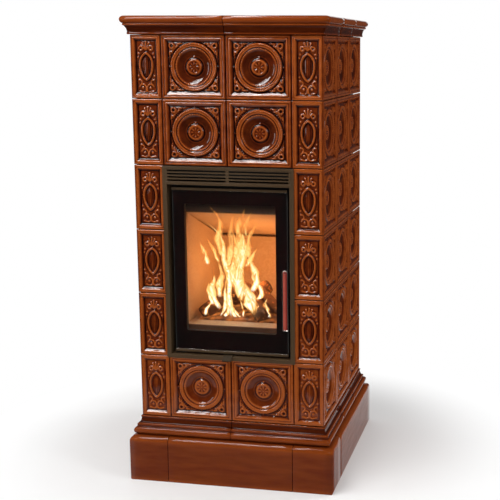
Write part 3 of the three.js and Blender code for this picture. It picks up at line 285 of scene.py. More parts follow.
MEDALLION = np.array([  # radius and height of the ring, dish and boss
    (0, -10.6), (2.5, -10.9), (5, -12.0), (17, -12.2), (19.5, -11.2), (22.5, -10.0), (25, -11.8),
    (27, -15.0), (30, -16.8), (35, -16.9), (40, -16.2), (45, -14.9), (50, -13.0), (54, -10.8), (57, -8.4),
    (59.5, -5.9), (61.2, -5.0), (62.6, -6.6), (64, -7.6), (65.2, -6.2), (66.4, -3.8), (68, -2.4),
    (69.6, -2.2), (71.2, -3.1), (72.2, -3.7), (73.2, -2.7), (75, -1.3), (77, -1.6), (78.8, -4.0),
    (80, -7.2), (81.4, -9.4), (82.6, -9.4), (84, -8)])
PEARLS = ((76.4, 3.4, 64, 1.1), (60.4, 2.6, 44, 0.6), (22.5, 2.2, 40, 0.45))  # radius, half width, number, height
PETALS = (11.5, 7, 8, 1.9)
EYE = (11.8, 11.0)  # corner volute, from the field's two edges
EYE_ROLLS = ((7.4, 2.6, 3.6), (0, 5.0, -3.0), (0, 2.2, 4.6))
SIDE_SCROLLS = ((35, 8.5), (8.5, 35))
SCROLL_ROLLS = ((4.4, 1.9, 2.4), (0, 1.4, 1.6))
STEMS = (((35, 13.5), (29, 15), (22, 10), (16, 6.5)), ((13.5, 35), (15, 29), (10, 22), (6.5, 16)),
         ((19, 19), (27, 27)), ((20, 15), (31, 20)), ((15, 20), (20, 31)), ((41, 5), (47, 4)),
         ((5, 41), (4, 47)))
SPANDREL = 47  # a corner's ornament stands on a raised three-sided ground of this size
KNOB_INSET = 3.2  # small knobs in the middle of the field's edges


def square_relief(across_lines, up_lines):
    """Relief of a square tile over its grid, in millimetres out from the tile face."""
    x, y, half_u, half_v, edge = places(across_lines, up_lines)
    relief = frame_relief(edge, 1.0)
    r, turn = np.hypot(x, y), np.arctan2(y, x)
    p, q = half_u - FIELD - np.abs(x), half_v - FIELD - np.abs(y)

    ground = rise(r, 82, 85) * rise(p, 0.5, 2.5) * rise(q, 0.5, 2.5) * rise(SPANDREL - p - q, 0, 2)
    field = 1.8 * ground + rolls(np.hypot(p - EYE[0], q - EYE[1]), *EYE_ROLLS)
    field += sum(rolls(np.hypot(p - cp, q - cq), *SCROLL_ROLLS) for cp, cq in SIDE_SCROLLS)
    field += 2.6 * ridge(np.min([near_line(p, q, stem) for stem in STEMS], axis=0), 2.3)
    field -= 2.0 * ridge((p + q - SPANDREL - 2) / math.sqrt(2), 1.5)
    knobs = ((half_u - FIELD - KNOB_INSET, 0), (0, half_v - FIELD - KNOB_INSET))
    field += 3.4 * ridge(nearest(np.abs(x), np.abs(y), knobs), 3.4)
    relief += field * rise(r, 80.4, 82.5) * (edge > FIELD - 1)

    disc = np.interp(r, MEDALLION[:, 0], MEDALLION[:, 1]) + 1.1 * ridge(r - 34.5, 1.5)
    for radius, half_width, number, height in PEARLS:
        disc += height * np.cos(number * turn) * ridge(r - radius, half_width)
    radius, half_width, number, height = PETALS
    disc += height * ridge(r - radius, half_width) * (0.45 + 0.55 * np.cos(number * turn))
    disc += 2.6 * ridge(np.hypot(x, y - 32), 3.3)
    inside = 1 - rise(r, 81, 84)
    return relief * (1 - inside) + disc * inside


def pooled(relief, across_lines):
    """How deep the glaze stands: more in hollows and low places, less on crests, and more beside upright joints, partly
    gathered glaze and partly painted shade.
    """
    hollow = soften(relief, 3) - relief
    wide = soften(relief, 9) - relief
    # Painted shade beside upright joints: the dark room reflected in the rounded edges is painted in as deeper glaze.
    painted_joint_shade = 1 - rise(np.minimum(across_lines, across_lines[-1] - across_lines), 1, 9)
    return np.clip(0.33 + 0.36 * hollow + 0.07 * wide - 0.010 * relief + 0.30 * painted_joint_shade[:, None], 0, 1)


HIDDEN_POOL = 0.9  # glaze mark of the walls and backs that nobody sees


def relief_block(across_lines, up_lines, relief, depth, taper=0, pool=0):
    """A closed block with the relief on its face: points (across, up, out), faces, the number of smooth faces
    and its glaze marks. A taper draws the back in, so that two blocks can meet at a corner."""
    u, v = np.meshgrid(across_lines, up_lines, indexing="ij")
    points = np.stack([u, v, relief], 2).reshape(-1, 3)
    at = np.arange(u.size).reshape(u.shape)
    quads = np.stack([at[:-1, :-1], at[1:, :-1], at[1:, 1:], at[:-1, 1:]], 2).reshape(-1, 4)
    rim = np.concatenate([at[:, 0], at[-1, 1:], at[-2::-1, -1], at[0, -2:0:-1]])
    middle = np.array([across_lines[-1] / 2, up_lines[-1] / 2, 0])
    drawn_in = (1 - taper / middle[0], 1 - taper / middle[1], 0) if taper else (1, 1, 0)
    back = (points[rim] - middle) * drawn_in + middle - (0, 0, depth)
    low = np.arange(len(rim)) + u.size
    walls = np.stack([rim, low, np.roll(low, -1), np.roll(rim, -1)], 1)
    faces = quads.tolist() + walls.tolist() + [low[::-1].tolist()]
    marks = np.append(np.broadcast_to(pool, relief.shape), np.full(len(rim), HIDDEN_POOL))
    return np.vstack([points, back]), faces, len(quads), marks


def on_front(points, x, z):
    return np.stack([x + points[:, 0], -HALF_D - points[:, 2], z + points[:, 1]], 1)


def make_piece(name, points, faces, smooth=None, material=None, edges=(), **marks):
    """A mesh object from millimetre points; smooth is the number of leading faces shaded round."""
    mesh = bpy.data.meshes.new(name)
    mesh.from_pydata((np.asarray(points) * MM).tolist(), edges, faces)
    flags = np.zeros(len(mesh.polygons), bool)
    flags[:len(faces) if smooth is None else smooth] = True
    mesh.polygons.foreach_set("use_smooth", flags)
    for label, values in marks.items():
        spread_values = np.broadcast_to(np.asarray(values, float), len(points))
        mesh.attributes.new(label, "FLOAT", "POINT").data.foreach_set("value", spread_values.astype(np.float32))
    if material:
        mesh.materials.append(material)
    return in_scene(name, mesh)


def install(piece, body, slot, *nodes):
    """The piece rides on its body and stands for these nodes; the slot is not used."""
    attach(piece, body)
    if nodes:
        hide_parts(*nodes)


FRONT_CELLS = 176
# A higher tone is lighter: the rows grow lighter towards the bottom, the right-hand pieces are a little lighter than
# the left, and the legs and side tiles are set lighter than the square front tiles.
ROW_TONE = {1: 0.30, 2: 0.28, 3: 0.45, 4: 0.50, 5: 0.58, 6: 0.90}  # rows are numbered from the top
row_foot = {row: WALL_FOOT + (ROWS - row) * PITCH + JOINT / 2 for row in range(1, ROWS + 1)}

front_shapes = {}
for height in (TILE, TOP_TILE):
    lines = mould_lines(TILE, FRONT_CELLS), mould_lines(height, FRONT_CELLS)
    relief = soften(square_relief(*lines), 1)
    front_shapes[height] = relief_block(*lines, relief, TILE_BACK - 0.3, pool=pooled(relief, lines[0]))

for row in (1, 2, 6):
    points, faces, smooth, marks = front_shapes[TOP_TILE if row == 1 else TILE]
    for side, x, shift in (("left", -JOINT / 2 - TILE, 0), ("right", JOINT / 2, 0.05)):
        tile = make_piece(f"relief_tile_{side}_{row}", on_front(points, x, row_foot[row]), faces, smooth,
                          glaze, pool=marks, tone=ROW_TONE[row] + shift)
        install(tile, "root", "glaze_tiles", f"front_tile_{side}_{row}")

# ---------------------------------------------------------------- side courses
# Each course of a side wall is a corner tile, whose narrow front leg carries a pointed cabochon between
# a shell and a scroll, and three square tiles that run back along the side, on one bed of clay.
LEG = 105
LEG_SCALE = 19 / FIELD  # its frame is narrower than a square tile's
LEG_INNER = 223  # middle to a leg's inner edge
SIDE_TILES = 3
CABOCHON = (55, 97)
CABOCHON_RING = 7.5
OVAL_POINTS = np.array([(0, -1), (0.9, -0.72), (1.12, 0.1), (0.8, 0.55), (0.5, 0.9), (0, 1)])  # foot to tip
EAR = (17.5, 60)
EAR_ROLLS = ((6.2, 2.6, 3.6), (0, 3.4, -1.5), (0, 1.9, 3.4))
SHELL_RIBS = ((90, 27), (66, 25), (42, 18))  # turn in degrees and reach
SCROLL = (13.5, -70)
SCROLL_FOOT = ((2, -70), (2, -82), (10, -86), (24, -82))
BEADS = ((25.5, 42), (28, 30), (25.5, -44), (28.5, -31))
LEG_CELLS = (76, 160)
SIDE_CELLS = 92


def pointed_oval(width, height, steps=14):
    """Outline of the cabochon: pointed at both ends, widest a little above its middle."""
    foot, belly, wide, shoulder, brow, tip = OVAL_POINTS * (width / 2, height / 2)
    t = np.linspace(0, 1, steps)[:, None]
    lower = (1 - t) ** 3 * foot + 3 * t * (1 - t) ** 2 * belly + 3 * t * t * (1 - t) * wide + t ** 3 * shoulder
    upper = (1 - t) ** 2 * shoulder + 2 * t * (1 - t) * brow + t * t * tip
    right = np.vstack([lower, upper[1:]])
    return np.vstack([right, (right * (-1, 1))[-2:0:-1]])


def inside_outline(x, y, points):
    """Whether each place lies inside a closed outline."""
    within = np.zeros(x.shape, bool)
    for (ax, ay), (bx, by) in zip(points, np.roll(points, -1, axis=0)):
        if ay == by:
            continue
        crosses = (ay > y) != (by > y)
        within ^= crosses & (x < (bx - ax) * (y - ay) / (by - ay) + ax)
    return within


def arc(cx, cy, radius, start, end, steps=10):
    """Points along an arc, from one angle to the other in degrees."""
    angles = np.radians(np.linspace(start, end, steps))
    return [(cx + radius * math.cos(a), cy + radius * math.sin(a)) for a in angles]


def leg_relief(across_lines, up_lines):
    """Relief of a corner tile's front leg over its grid, and the glaze gathered in its cabochon."""
    x, y, _, _, edge = places(across_lines, up_lines)
    relief = frame_relief(edge, LEG_SCALE)
    oval = pointed_oval(*CABOCHON)
    inner = near_line(x, y, [*oval, oval[0]]) * np.where(inside_outline(x, y, oval), 1, -1)
    x = np.abs(x)

    shell = np.zeros_like(relief)
    for angle, reach in SHELL_RIBS:
        a = math.radians(angle)
        tip = (reach * math.cos(a), 54 + reach * math.sin(a))
        shell = np.maximum(shell, ridge(near_line(x, y, [(1.5, 55), tip]), 2.4))
        shell = np.maximum(shell, 1.25 * ridge(nearest(x, y, [tip]), 3.2))
    scroll = np.max([ridge(near_line(x, y, arc(*SCROLL, 11.5, 20, 185)), 2.3),
                     1.2 * ridge(nearest(x, y, [SCROLL]), 3.8), ridge(near_line(x, y, SCROLL_FOOT), 2.1),
                     ridge(near_line(x, y, arc(24, -52, 8, 250, 90)), 1.9)], axis=0)
    raised = 3.2 * np.max([shell, scroll, 0.9 * ridge(nearest(x, y, BEADS), 3.0)], axis=0)
    ornament = np.maximum(rolls(nearest(x, y, [EAR]), *EAR_ROLLS), raised)
    relief = relief + ornament * (edge > 18) * (inner < 0)

    dome = -FIELD_SUNK + 0.5 + 3.4 * rise(inner, CABOCHON_RING, 25)
    dome += 1.0 * np.cos(1.05 * x) * rise(inner, 9, 13) * rise(np.abs(y), 46, 20)
    dome -= 1.6 * ridge(inner - CABOCHON_RING, 1.6)
    ring = -FIELD_SUNK + 6.4 * ridge(inner - CABOCHON_RING / 2, CABOCHON_RING / 2 + 0.3)
    oval_relief = np.where(inner > CABOCHON_RING, dome, ring)
    relief = np.where(inner > 0, np.maximum(oval_relief, -FIELD_SUNK - 1.5), relief - 1.3 * ridge(inner, 1.6))
    return relief, 0.42 * rise(inner, CABOCHON_RING, 17)


def growth(name, inputs):
    """A Geometry Nodes tree with these named inputs beside its mesh, their identifiers and their sockets."""
    tree = bpy.data.node_groups.new(name, "GeometryNodeTree")
    tree.interface.new_socket("Geometry", in_out="INPUT", socket_type="NodeSocketGeometry")
    sockets = {label: tree.interface.new_socket(label, in_out="INPUT", socket_type=f"NodeSocket{kind}").identifier
               for label, kind in inputs.items()}
    tree.interface.new_socket("Geometry", in_out="OUTPUT", socket_type="NodeSocketGeometry")
    return tree, sockets, tree.nodes.new("NodeGroupInput").outputs


def end_growth(tree, geometry, material):
    """Ends a tree with real meshes in their material."""
    real = put(tree, "GeometryNodeRealizeInstances", {"Geometry": geometry})
    dressed = put(tree, "GeometryNodeSetMaterial", {"Geometry": real.outputs[0], "Material": material})
    link(dressed.outputs[0], tree.nodes.new("NodeGroupOutput").inputs[0])


def grown(obj, tree, sockets, values):
    """Runs a tree on the object and keeps the result as its plain mesh."""
    modifier = obj.modifiers.new(tree.name, "NODES")
    modifier.node_group = tree
    for label, value in values.items():
        modifier[sockets[label]] = value
    evaluated = obj.evaluated_get(bpy.context.evaluated_depsgraph_get())
    result = bpy.data.meshes.new_from_object(evaluated)
    obj.modifiers.remove(modifier)
    old, obj.data = obj.data, result
    bpy.data.meshes.remove(old)
    return obj


def joined(pieces, name):
    """One object made of several, under the first one's name."""
    with bpy.context.temp_override(active_object=pieces[0], object=pieces[0], selected_objects=pieces,
                                   selected_editable_objects=pieces):
        bpy.ops.object.join()
    pieces[0].name = name
    pieces[0].data.name = name
    return pieces[0]


# A row repeats its piece in a straight line.
row_tree, row_sockets, given = growth("tiles_in_a_row", {"Count": "Int", "Step": "Vector", "Material": "Material"})
line = put(row_tree, "GeometryNodeMeshLine", {"Count": given["Count"], "Offset": given["Step"]})
copies = put(row_tree, "GeometryNodeInstanceOnPoints", {"Points": line.outputs[0], "Instance": given["Geometry"]})
end_growth(row_tree, copies.outputs[0], given["Material"])


def two_toned(name, patch, dark, light, height=None, **constants):
    """A material whose colour wanders between two shades in uneven patches, raised to this height."""
    made, shader, here = finish(name, **constants)
    mask = patchy(here, *patch)
    link(blend(mask, dark, light), shader.inputs["Base Color"])
    if height:
        bump(shader, mask, *height)
    return made


bare_clay = two_toned("bare_clay", (60.0, 5.0, 1.4), (0.05, 0.022, 0.014, 1), (0.11, 0.055, 0.036, 1), (0.0008, 0.6),
                      Roughness=0.95)

leg_shapes, side_shapes = {}, {}
for height in (TILE, TOP_TILE):
    lines = mould_lines(LEG, LEG_CELLS[0]), mould_lines(height, LEG_CELLS[1])
    relief, gathered_glaze = leg_relief(*lines)
    relief = soften(relief, 1)
    pool = np.clip(pooled(relief, lines[0]) + gathered_glaze, 0, 1)
    leg_shapes[height] = relief_block(*lines, relief, BODY, BODY - ARRIS_R, pool)
    lines = mould_lines(TILE, SIDE_CELLS), mould_lines(height, SIDE_CELLS)
    relief = square_relief(*lines)
    side_shapes[height] = relief_block(*lines, relief, BODY, BODY - ARRIS_R, 0.16 + 0.55 * pooled(relief, lines[0]))


def loop_faces(loops, n, closed=False):
    """Quads between loops of n points each, with flat ends, or closed on themselves like a ring."""
    faces = [(k * n + i, k * n + (i + 1) % n, (k + 1) % loops * n + (i + 1) % n, (k + 1) % loops * n + i)
             for k in range(loops if closed else loops - 1) for i in range(n)]
    return faces if closed else faces + [tuple(range(n))[::-1], tuple(range(loops * n - n, loops * n))]


def clay_bed(name, hand, foot, head):
    """The bed behind a course: an L in plan, a little behind the tiles' faces."""
    seam, inner = 0.15, LEG_INNER - 0.85
    plan = [(inner, -HALF_D + BODY), (HALF_W - BODY, -HALF_D + BODY), (HALF_W - BODY, HALF_D),
            (HALF_W - TILE_BACK, HALF_D), (HALF_W - TILE_BACK, -HALF_D + TILE_BACK), (inner, -HALF_D + TILE_BACK)]
    if hand < 0:
        plan = [(-x, y) for x, y in plan[::-1]]
    points = [(x, y, z) for z in (foot + seam, head - seam) for x, y in plan]
    return make_piece(name, points, loop_faces(2, len(plan)), 0, bare_clay)


for row in range(1, ROWS + 1):
    height = TOP_TILE if row == 1 else TILE
    foot = row_foot[row]
    for side, hand, x, leg_tone in (("left", -1, -HALF_W, 0.28), ("right", 1, LEG_INNER, 0.42)):
        points, faces, smooth, marks = leg_shapes[height]
        leg = make_piece(f"corner_leg_{side}_{row}", on_front(points, x, foot), faces, smooth, glaze,
                         pool=marks, tone=ROW_TONE[row] + leg_tone)
        points, faces, smooth, marks = side_shapes[height]
        placed = np.stack([hand * (HALF_W + points[:, 2]), hand * (points[:, 0] - HALF_D), foot + points[:, 1]], 1)
        tiles = make_piece(f"side_tiles_{side}_{row}", placed, faces, smooth, glaze,
                           pool=marks, tone=ROW_TONE[row] + 0.10)
        grown(tiles, row_tree, row_sockets,
              {"Count": SIDE_TILES, "Step": (0.0, hand * PITCH * MM, 0.0), "Material": glaze})
        course = joined([leg, tiles, clay_bed("bed", hand, foot - JOINT / 2, foot + height + JOINT / 2)],
                        f"glazed_course_{side}_{row}")
        install(course, "root", "glaze_tiles", f"tile_course_{side}_{row}")

# ---------------------------------------------------------------- cornice, base moulding and plinth
# Extruded clay mouldings, mitred at the corners and butted with fine joints: a bullnose over a cove on
# top, a torus under a hollow at the foot, and a tall plain plinth with a rounded shoulder.
PLINTH_TOP = 163
CORNICE_FOOT = 1550
JOINT_HALF = 0.6
MOULDING_END = -98  # where the front pieces of a moulding end along the sides
PLINTH_LEG = 224
PLINTH_SPLIT = -228  # where the plinth's corner blocks meet its sides

trim_glaze = glazed_clay("brown_moulding_glaze", 0.09, (0.30, 0.30, 1.7), Mottle=0.26, Light=(0.225, 0.046, 0.0075, 1),
                         Middle=(0.112, 0.0190, 0.0026, 1), Red=(0.100, 0.0140, 0.0026, 1))


def smoothed(line):
    """A line whose inner points are drawn towards their neighbours."""
    return np.concatenate([line[:1], (line[:-2] + 2 * line[1:-1] + line[2:]) / 4, line[-1:]])


def profile(points, back, spacing=1.5):
    """Refines a moulding's seen outline, from foot to head, and closes it with its hidden back points."""
    seen = [np.array(points[0], float)]
    for end in points[1:]:
        start, end = seen[-1], np.array(end, float)
        steps = max(1, int(round(np.hypot(*(end - start)) / spacing)))
        seen += [start + (end - start) * k / steps for k in range(1, steps + 1)]
    rounded = wide = smoothed(np.array(seen))
    for _ in range(14):
        wide = smoothed(wide)
    run = np.gradient(rounded, axis=0)
    out = np.stack([run[:, 1], -run[:, 0]], 1) / np.maximum(np.hypot(*run.T), 1e-9)[:, None]
    hollow = ((wide - rounded) * out).sum(1)
    # Painted shade: the further a point of the outline stands behind the moulding's foremost point, the darker its
    # glaze is marked, as in the cove and on the plinth's shoulder.
    recess_shade = np.clip((rounded[:, 0].max() - rounded[:, 0]) * 0.016, 0, 0.3)
    pool = np.clip(0.34 + 0.34 * hollow + recess_shade, 0, 1)
    return np.vstack([rounded, back]), np.append(pool, np.full(len(back), HIDDEN_POOL)), len(seen)


def moulding_run(name, shape, stations, z, tone):
    """Carries a profile along stations (x, y, out x, out y, set back); closed at both ends."""
    outline, pool, seen = shape
    n = len(outline)
    points, depth = [], []
    for x, y, ox, oy, set_back in stations:
        p = outline[:, 0] - set_back * rise(outline[:, 0], -18, -6)
        points.append(np.stack([x + ox * p, y + oy * p, z + outline[:, 1]], 1))
        depth.append(np.clip(pool + 0.5 * min(set_back, 1), 0, 1))
    *quads, foot, head = loop_faces(len(stations), n)
    shown = [quad for quad in quads if quad[0] % n < seen - 1]
    hidden = [quad for quad in quads if quad[0] % n >= seen - 1]
    made = make_piece(name, np.vstack(points), [*shown, *hidden, foot, head], len(shown), trim_glaze,
                      pool=np.concatenate(depth), tone=tone)
    made.data.validate()
    return made


GROOVE = ((-1.8, 0), (-0.9, 0.5), (-0.5, 3.0), (0.5, 3.0), (0.9, 0.5), (1.8, 0))  # along and in, at a pointed joint
ARRIS = ((0, 1.1), (0.5, 0.35), (1.2, 0))  # along and in, at an open end
CORNER_EASE = 2.5  # how far from a mitred corner its shading starts to turn


def stations_between(start, end, grooves=()):
    """Stations every few centimetres of a straight run, closer at its pointed joints."""
    start, end = np.array(start, float), np.array(end, float)
    length = np.hypot(*(end - start)[:2])
    parts = {t: 0.0 for t in np.linspace(0, 1, max(2, int(length // 30)))}
    parts.update({(groove + along) / length: set_back for groove in grooves for along, set_back in GROOVE})
    return [(*(start + (end - start) * t), back) for t, back in sorted(parts.items())]


def open_end(x, y, ox, oy, way):
    """The last stations of a piece at a joint, where its arris is rounded; way points into the piece."""
    return [(x + way[0] * along, y + way[1] * along, ox, oy, back) for along, back in ARRIS]


def corner_piece(name, shape, hand, way, front_end, side_end, z, tone, grooves=()):
    """A moulding round one corner of the wall, from its end at the front or rear to its end along the side."""
    first = (front_end, way * HALF_D, 0, way)
    corner = (hand * HALF_W, way * HALF_D, hand, way)
    last = (hand * HALF_W, side_end, hand, 0)
    stations = open_end(*first, (hand, 0))
    stations += stations_between((stations[-1][0], *first[1:]), corner)[1:-1]
    stations = [s for s in stations if abs(s[0] - corner[0]) > CORNER_EASE]
    stations += [(corner[0] - hand * CORNER_EASE, *first[1:], 0), (*corner, 0),
                 (corner[0], corner[1] - way * CORNER_EASE, hand, 0, 0)]
    side_run = stations_between(corner, last, [abs(way * HALF_D - g) for g in grooves])[1:-1]
    stations += [(x, y, hand, 0, back) for x, y, _, _, back in side_run] + open_end(*last, (0, way))[::-1]
    return moulding_run(name, shape, stations[::-1] if hand * way < 0 else stations, z, tone)


cornice_profile = profile(
    [(6, 0.15), (7, 1.5), (7.2, 4), (6.2, 6.5), *arc(38, 7, 32, 178, 137, 12), (17.4, 29.4), (18, 30), (18, 34.2),
     (17.2, 35.2), (15.8, 36), *arc(12, 48, 13, -62, 86, 26), (10, 61), (-20, 61)],
    [(-50, 61), (-50, 18), (-70, 18), (-70, 0.15)])
base_profile = profile(
    [(15, 0.15), (15.2, 2.5), (16.5, 4), *arc(11, 16, 13, -60, 72, 26), (14.2, 29.4), (14.2, 37), (13.4, 39.2),
     (10, 40.8), *arc(42, 61, 40, 208, 184, 12), (3.2, 61.5), (4.2, 63), (3.6, 65), (1.5, 65.85)],
    [(-50, 65.85), (-50, 0.15)])
plinth_profile = profile(
    [(34.5, 0), (36, 1.5), (36, 140), (36, 143),
     *((36 - 21 * (1 - math.cos(a)), 163 - 19 * (1 - math.sin(a))) for a in np.radians(np.linspace(8, 90, 14))),
     (-20, 163)], [(-70, 163), (-70, 0)], spacing=4)

for side, hand in (("left", -1), ("right", 1)):
    for label, shape, z, shade in (("cornice", cornice_profile, CORNICE_FOOT, 0.60),
                                   ("base_moulding", base_profile, PLINTH_TOP, 0.72)):
        front = corner_piece(f"{label}_corner_{side}", shape, hand, -1, hand * JOINT_HALF,
                             MOULDING_END - JOINT_HALF, z, shade)
        rear = corner_piece(f"{label}_run_{side}", shape, hand, 1, hand * JOINT_HALF,
                            MOULDING_END + JOINT_HALF, z, shade + 0.06, grooves=(MOULDING_END + PITCH,))
        install(front, "root", "glaze_trim", f"{label}_front_{side}")
        install(rear, "root", "glaze_trim", f"{label}_rear_{side}")
    block = corner_piece(f"plinth_block_{side}", plinth_profile, hand, -1, hand * (PLINTH_LEG + JOINT_HALF),
                         PLINTH_SPLIT - JOINT_HALF, 0, 0.42)
    long_side = corner_piece(f"plinth_run_{side}", plinth_profile, hand, 1, hand * JOINT_HALF,
                             PLINTH_SPLIT + JOINT_HALF, 0, 0.5)
    install(block, "root", "glaze_trim", f"plinth_corner_{side}")
    install(long_side, "root", "glaze_trim", f"plinth_side_{side}")

panel_end = open_end(JOINT_HALF - PLINTH_LEG, -HALF_D, 0, -1, (1, 0))
other_end = [(-x, *rest) for x, *rest in panel_end[::-1]]
middle = stations_between(panel_end[-1][:4], other_end[0][:4])[1:-1]
plinth_panel = moulding_run("plinth_panel", plinth_profile, panel_end + middle + other_end, 0, 0.46)
install(plinth_panel, "root", "glaze_trim", "plinth_front")

# ---------------------------------------------------------------- slabs
# Plates of cast concrete with broken edges. One lies on the plinth's ledge and carries the insert's stand,
# and the other closes the top of the wall.
SLAB_ARRIS = 2.0


def eased(node, name, material, width, slot, body="root", segments=2):
    """Stands for a CAD solid: its copy with doubles merged, flat faces whole and edges rounded."""
    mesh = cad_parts[node].data.copy()
    mesh.name = name
    shape = bmesh.new()
    shape.from_mesh(mesh)
    bmesh.ops.remove_doubles(shape, verts=shape.verts, dist=1e-5)
    bmesh.ops.dissolve_limit(shape, angle_limit=math.radians(0.5), verts=shape.verts, edges=shape.edges)
    shape.to_mesh(mesh)
    shape.free()
    made = in_scene(name, mesh)
    edge = made.modifiers.new("edge", "BEVEL")
    edge.width, edge.segments = width * MM, segments
    edge.limit_method, edge.angle_limit = "ANGLE", math.radians(35)
    evaluated = made.evaluated_get(bpy.context.evaluated_depsgraph_get())
    result = bpy.data.meshes.new_from_object(evaluated)
    made.modifiers.clear()
    made.data = result
    bpy.data.meshes.remove(mesh)
    result.materials.clear()
    result.materials.append(material)
    for custom in [a for a in result.attributes if a.name == "custom_normal"]:
        result.attributes.remove(custom)
    result.polygons.foreach_set("use_smooth", np.zeros(len(result.polygons), bool))
    install(made, body, slot, node)


concrete, shader, here = finish("cast_concrete", Roughness=0.93)
aggregate = patchy(here, 90.0, 6.0, 1.6)
stained = blend(patchy(here, 6.0, 3.0, 1.4), (0.33, 0.31, 0.28, 1), (0.47, 0.45, 0.41, 1))
link(blend(aggregate, (0.25, 0.24, 0.22, 1), stained), shader.inputs["Base Color"])
bump(shader, aggregate, 0.0012, 0.5)

for node, name in (("floor_slab", "slab_under_the_stand"), ("top_slab", "cover_slab")):
    eased(node, name, concrete, SLAB_ARRIS, "concrete")

# ---------------------------------------------------------------- rear panel
# A painted sheet closes the back between the side walls; round-headed screws hold it every few
# centimetres, and the flue passes through its round hole.
SCREW_R = 4.5
SCREW_H = 2.2
PANEL_SCREWS = 9
SCREW_INSET = 12

sheet_metal, given, result = effect(
    "painted_sheet",
    {"Vector": (0, 0, 0), "Paint": (0.1, 0.09, 0.07, 1), "Worn": (0.2, 0.18, 0.15, 1), "Wear": 0.3, "Grain": 600.0,
     "Rough": 0.4},
    {"Colour": "Color", "Roughness": "Float", "Height": "Float"})
broad = patchy(given["Vector"], 7.0, 4.0, 1.5)
worn = maths("MULTIPLY", broad, given["Wear"])
link(blend(worn, given["Paint"], given["Worn"]), result["Colour"])
rougher = maths("MULTIPLY_ADD", broad, 0.16, -0.08)
link(maths("ADD", given["Rough"], rougher, clamp=True), result["Roughness"])
link(patchy(given["Vector"], given["Grain"], 2.0, 1.2), result["Height"])


def metal(name, paint, worn_to, wear, grain, rough, metallic, height, specular=0.5):
    """Painted or plain sheet, worn in broad patches and finely grained."""
    made, shader, here = finish(name, Metallic=metallic, Specular_IOR_Level=specular)
    coated = use(sheet_metal, {"Vector": here, "Paint": paint, "Worn": worn_to, "Wear": wear, "Grain": grain,
                               "Rough": rough})
    link(coated["Colour"], shader.inputs["Base Color"])
    link(coated["Roughness"], shader.inputs["Roughness"])
    bump(shader, coated["Height"], height, 0.4)
    return made


bronze = metal("bronze_grey_paint", (0.056, 0.031, 0.0135, 1), (0.078, 0.047, 0.022, 1), 0.6, 900.0, 0.45, 0.05,
               0.00008, 0.16)
iron = metal("black_stove_iron", (0.016, 0.015, 0.014, 1), (0.04, 0.034, 0.03, 1), 0.6, 420.0, 0.6, 0.2, 0.0002)
steel = metal("plain_steel", (0.30, 0.29, 0.28, 1), (0.20, 0.17, 0.14, 1), 0.7, 500.0, 0.38, 0.9, 0.0001)

eased("rear_panel", "back_panel", bronze, 0.5, "bronze_steel")


def screw_head(name, radius, height):
    """A low domed head, lying on the XZ plane and standing out to +Y."""
    rings, sides = 4, 12
    points = [(0, height, 0)]
    for k in range(1, rings + 1):
        tilt = k / rings * math.pi / 2
        points += [(radius * math.sin(tilt) * math.cos(turn), height * math.cos(tilt),
                    radius * math.sin(tilt) * math.sin(turn)) for turn in 2 * math.pi * np.arange(sides) / sides]
    points.append((0, 0, 0))
    last = 1 + (rings - 1) * sides
    faces = [(0, 1 + (s + 1) % sides, 1 + s) for s in range(sides)]
    faces += [tuple(1 + corner for corner in quad) for quad in loop_faces(rings, sides)[:-2]]
    faces += [(last + s, last + (s + 1) % sides, len(points) - 1) for s in range(sides)]
    return make_piece(name, points, faces, None, steel)


def box_mm(node):
    """The low and high corner of a CAD solid, in millimetres."""
    return [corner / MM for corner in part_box(node)]


panel_low, panel_high = box_mm("rear_panel")
lowest, highest = panel_low.z + 2.5 * SCREW_INSET, panel_high.z - 2.5 * SCREW_INSET
screw_rows = []
for side, hand in (("left", -1), ("right", 1)):
    head = screw_head(f"panel_screws_{side}", SCREW_R, SCREW_H)
    foot = Vector((hand * (panel_high.x - SCREW_INSET), panel_high.y, lowest))
    head.data.transform(Matrix.Translation(foot * MM))
    step = (highest - lowest) * MM / (PANEL_SCREWS - 1)
    grown(head, row_tree, row_sockets, {"Count": PANEL_SCREWS, "Step": (0.0, 0.0, step), "Material": steel})
    screw_rows.append(head)
install(joined(screw_rows, "panel_screws"), "root", "bare_steel")

# ---------------------------------------------------------------- surround, grille and lintel
# A bronze-grey painted steel frame laps over the tiles round the opening and runs back in a sleeve.
# Its upper band holds the air grille; behind it a steel angle carries the tiles above.
eased("door_surround", "steel_surround", bronze, 0.6, "bronze_steel")
eased("lintel", "lintel_angle", iron, 0.5, "bare_steel")


def rounded_rectangle(half_x, z0, z1, radius, centre=0.0):
    """Corner by corner, counter-clockwise as seen from the front."""
    right, foot, head = half_x - radius, z0 + radius, z1 - radius
    return [point for x, z, start in ((right, foot, 270), (right, head, 0), (-right, head, 90), (-right, foot, 180))
            for point in arc(centre + x, z, radius, start, start + 90, 6)]


def framed_sheet(name, outer, inner, y0, y1, material):
    """A flat sheet between two outlines with the same number of points."""
    points = [(x, y, z) for loop, y in ((outer, y0), (inner, y0), (inner, y1), (outer, y1)) for x, z in loop]
    return make_piece(name, points, loop_faces(4, len(outer), closed=True), 0, material)


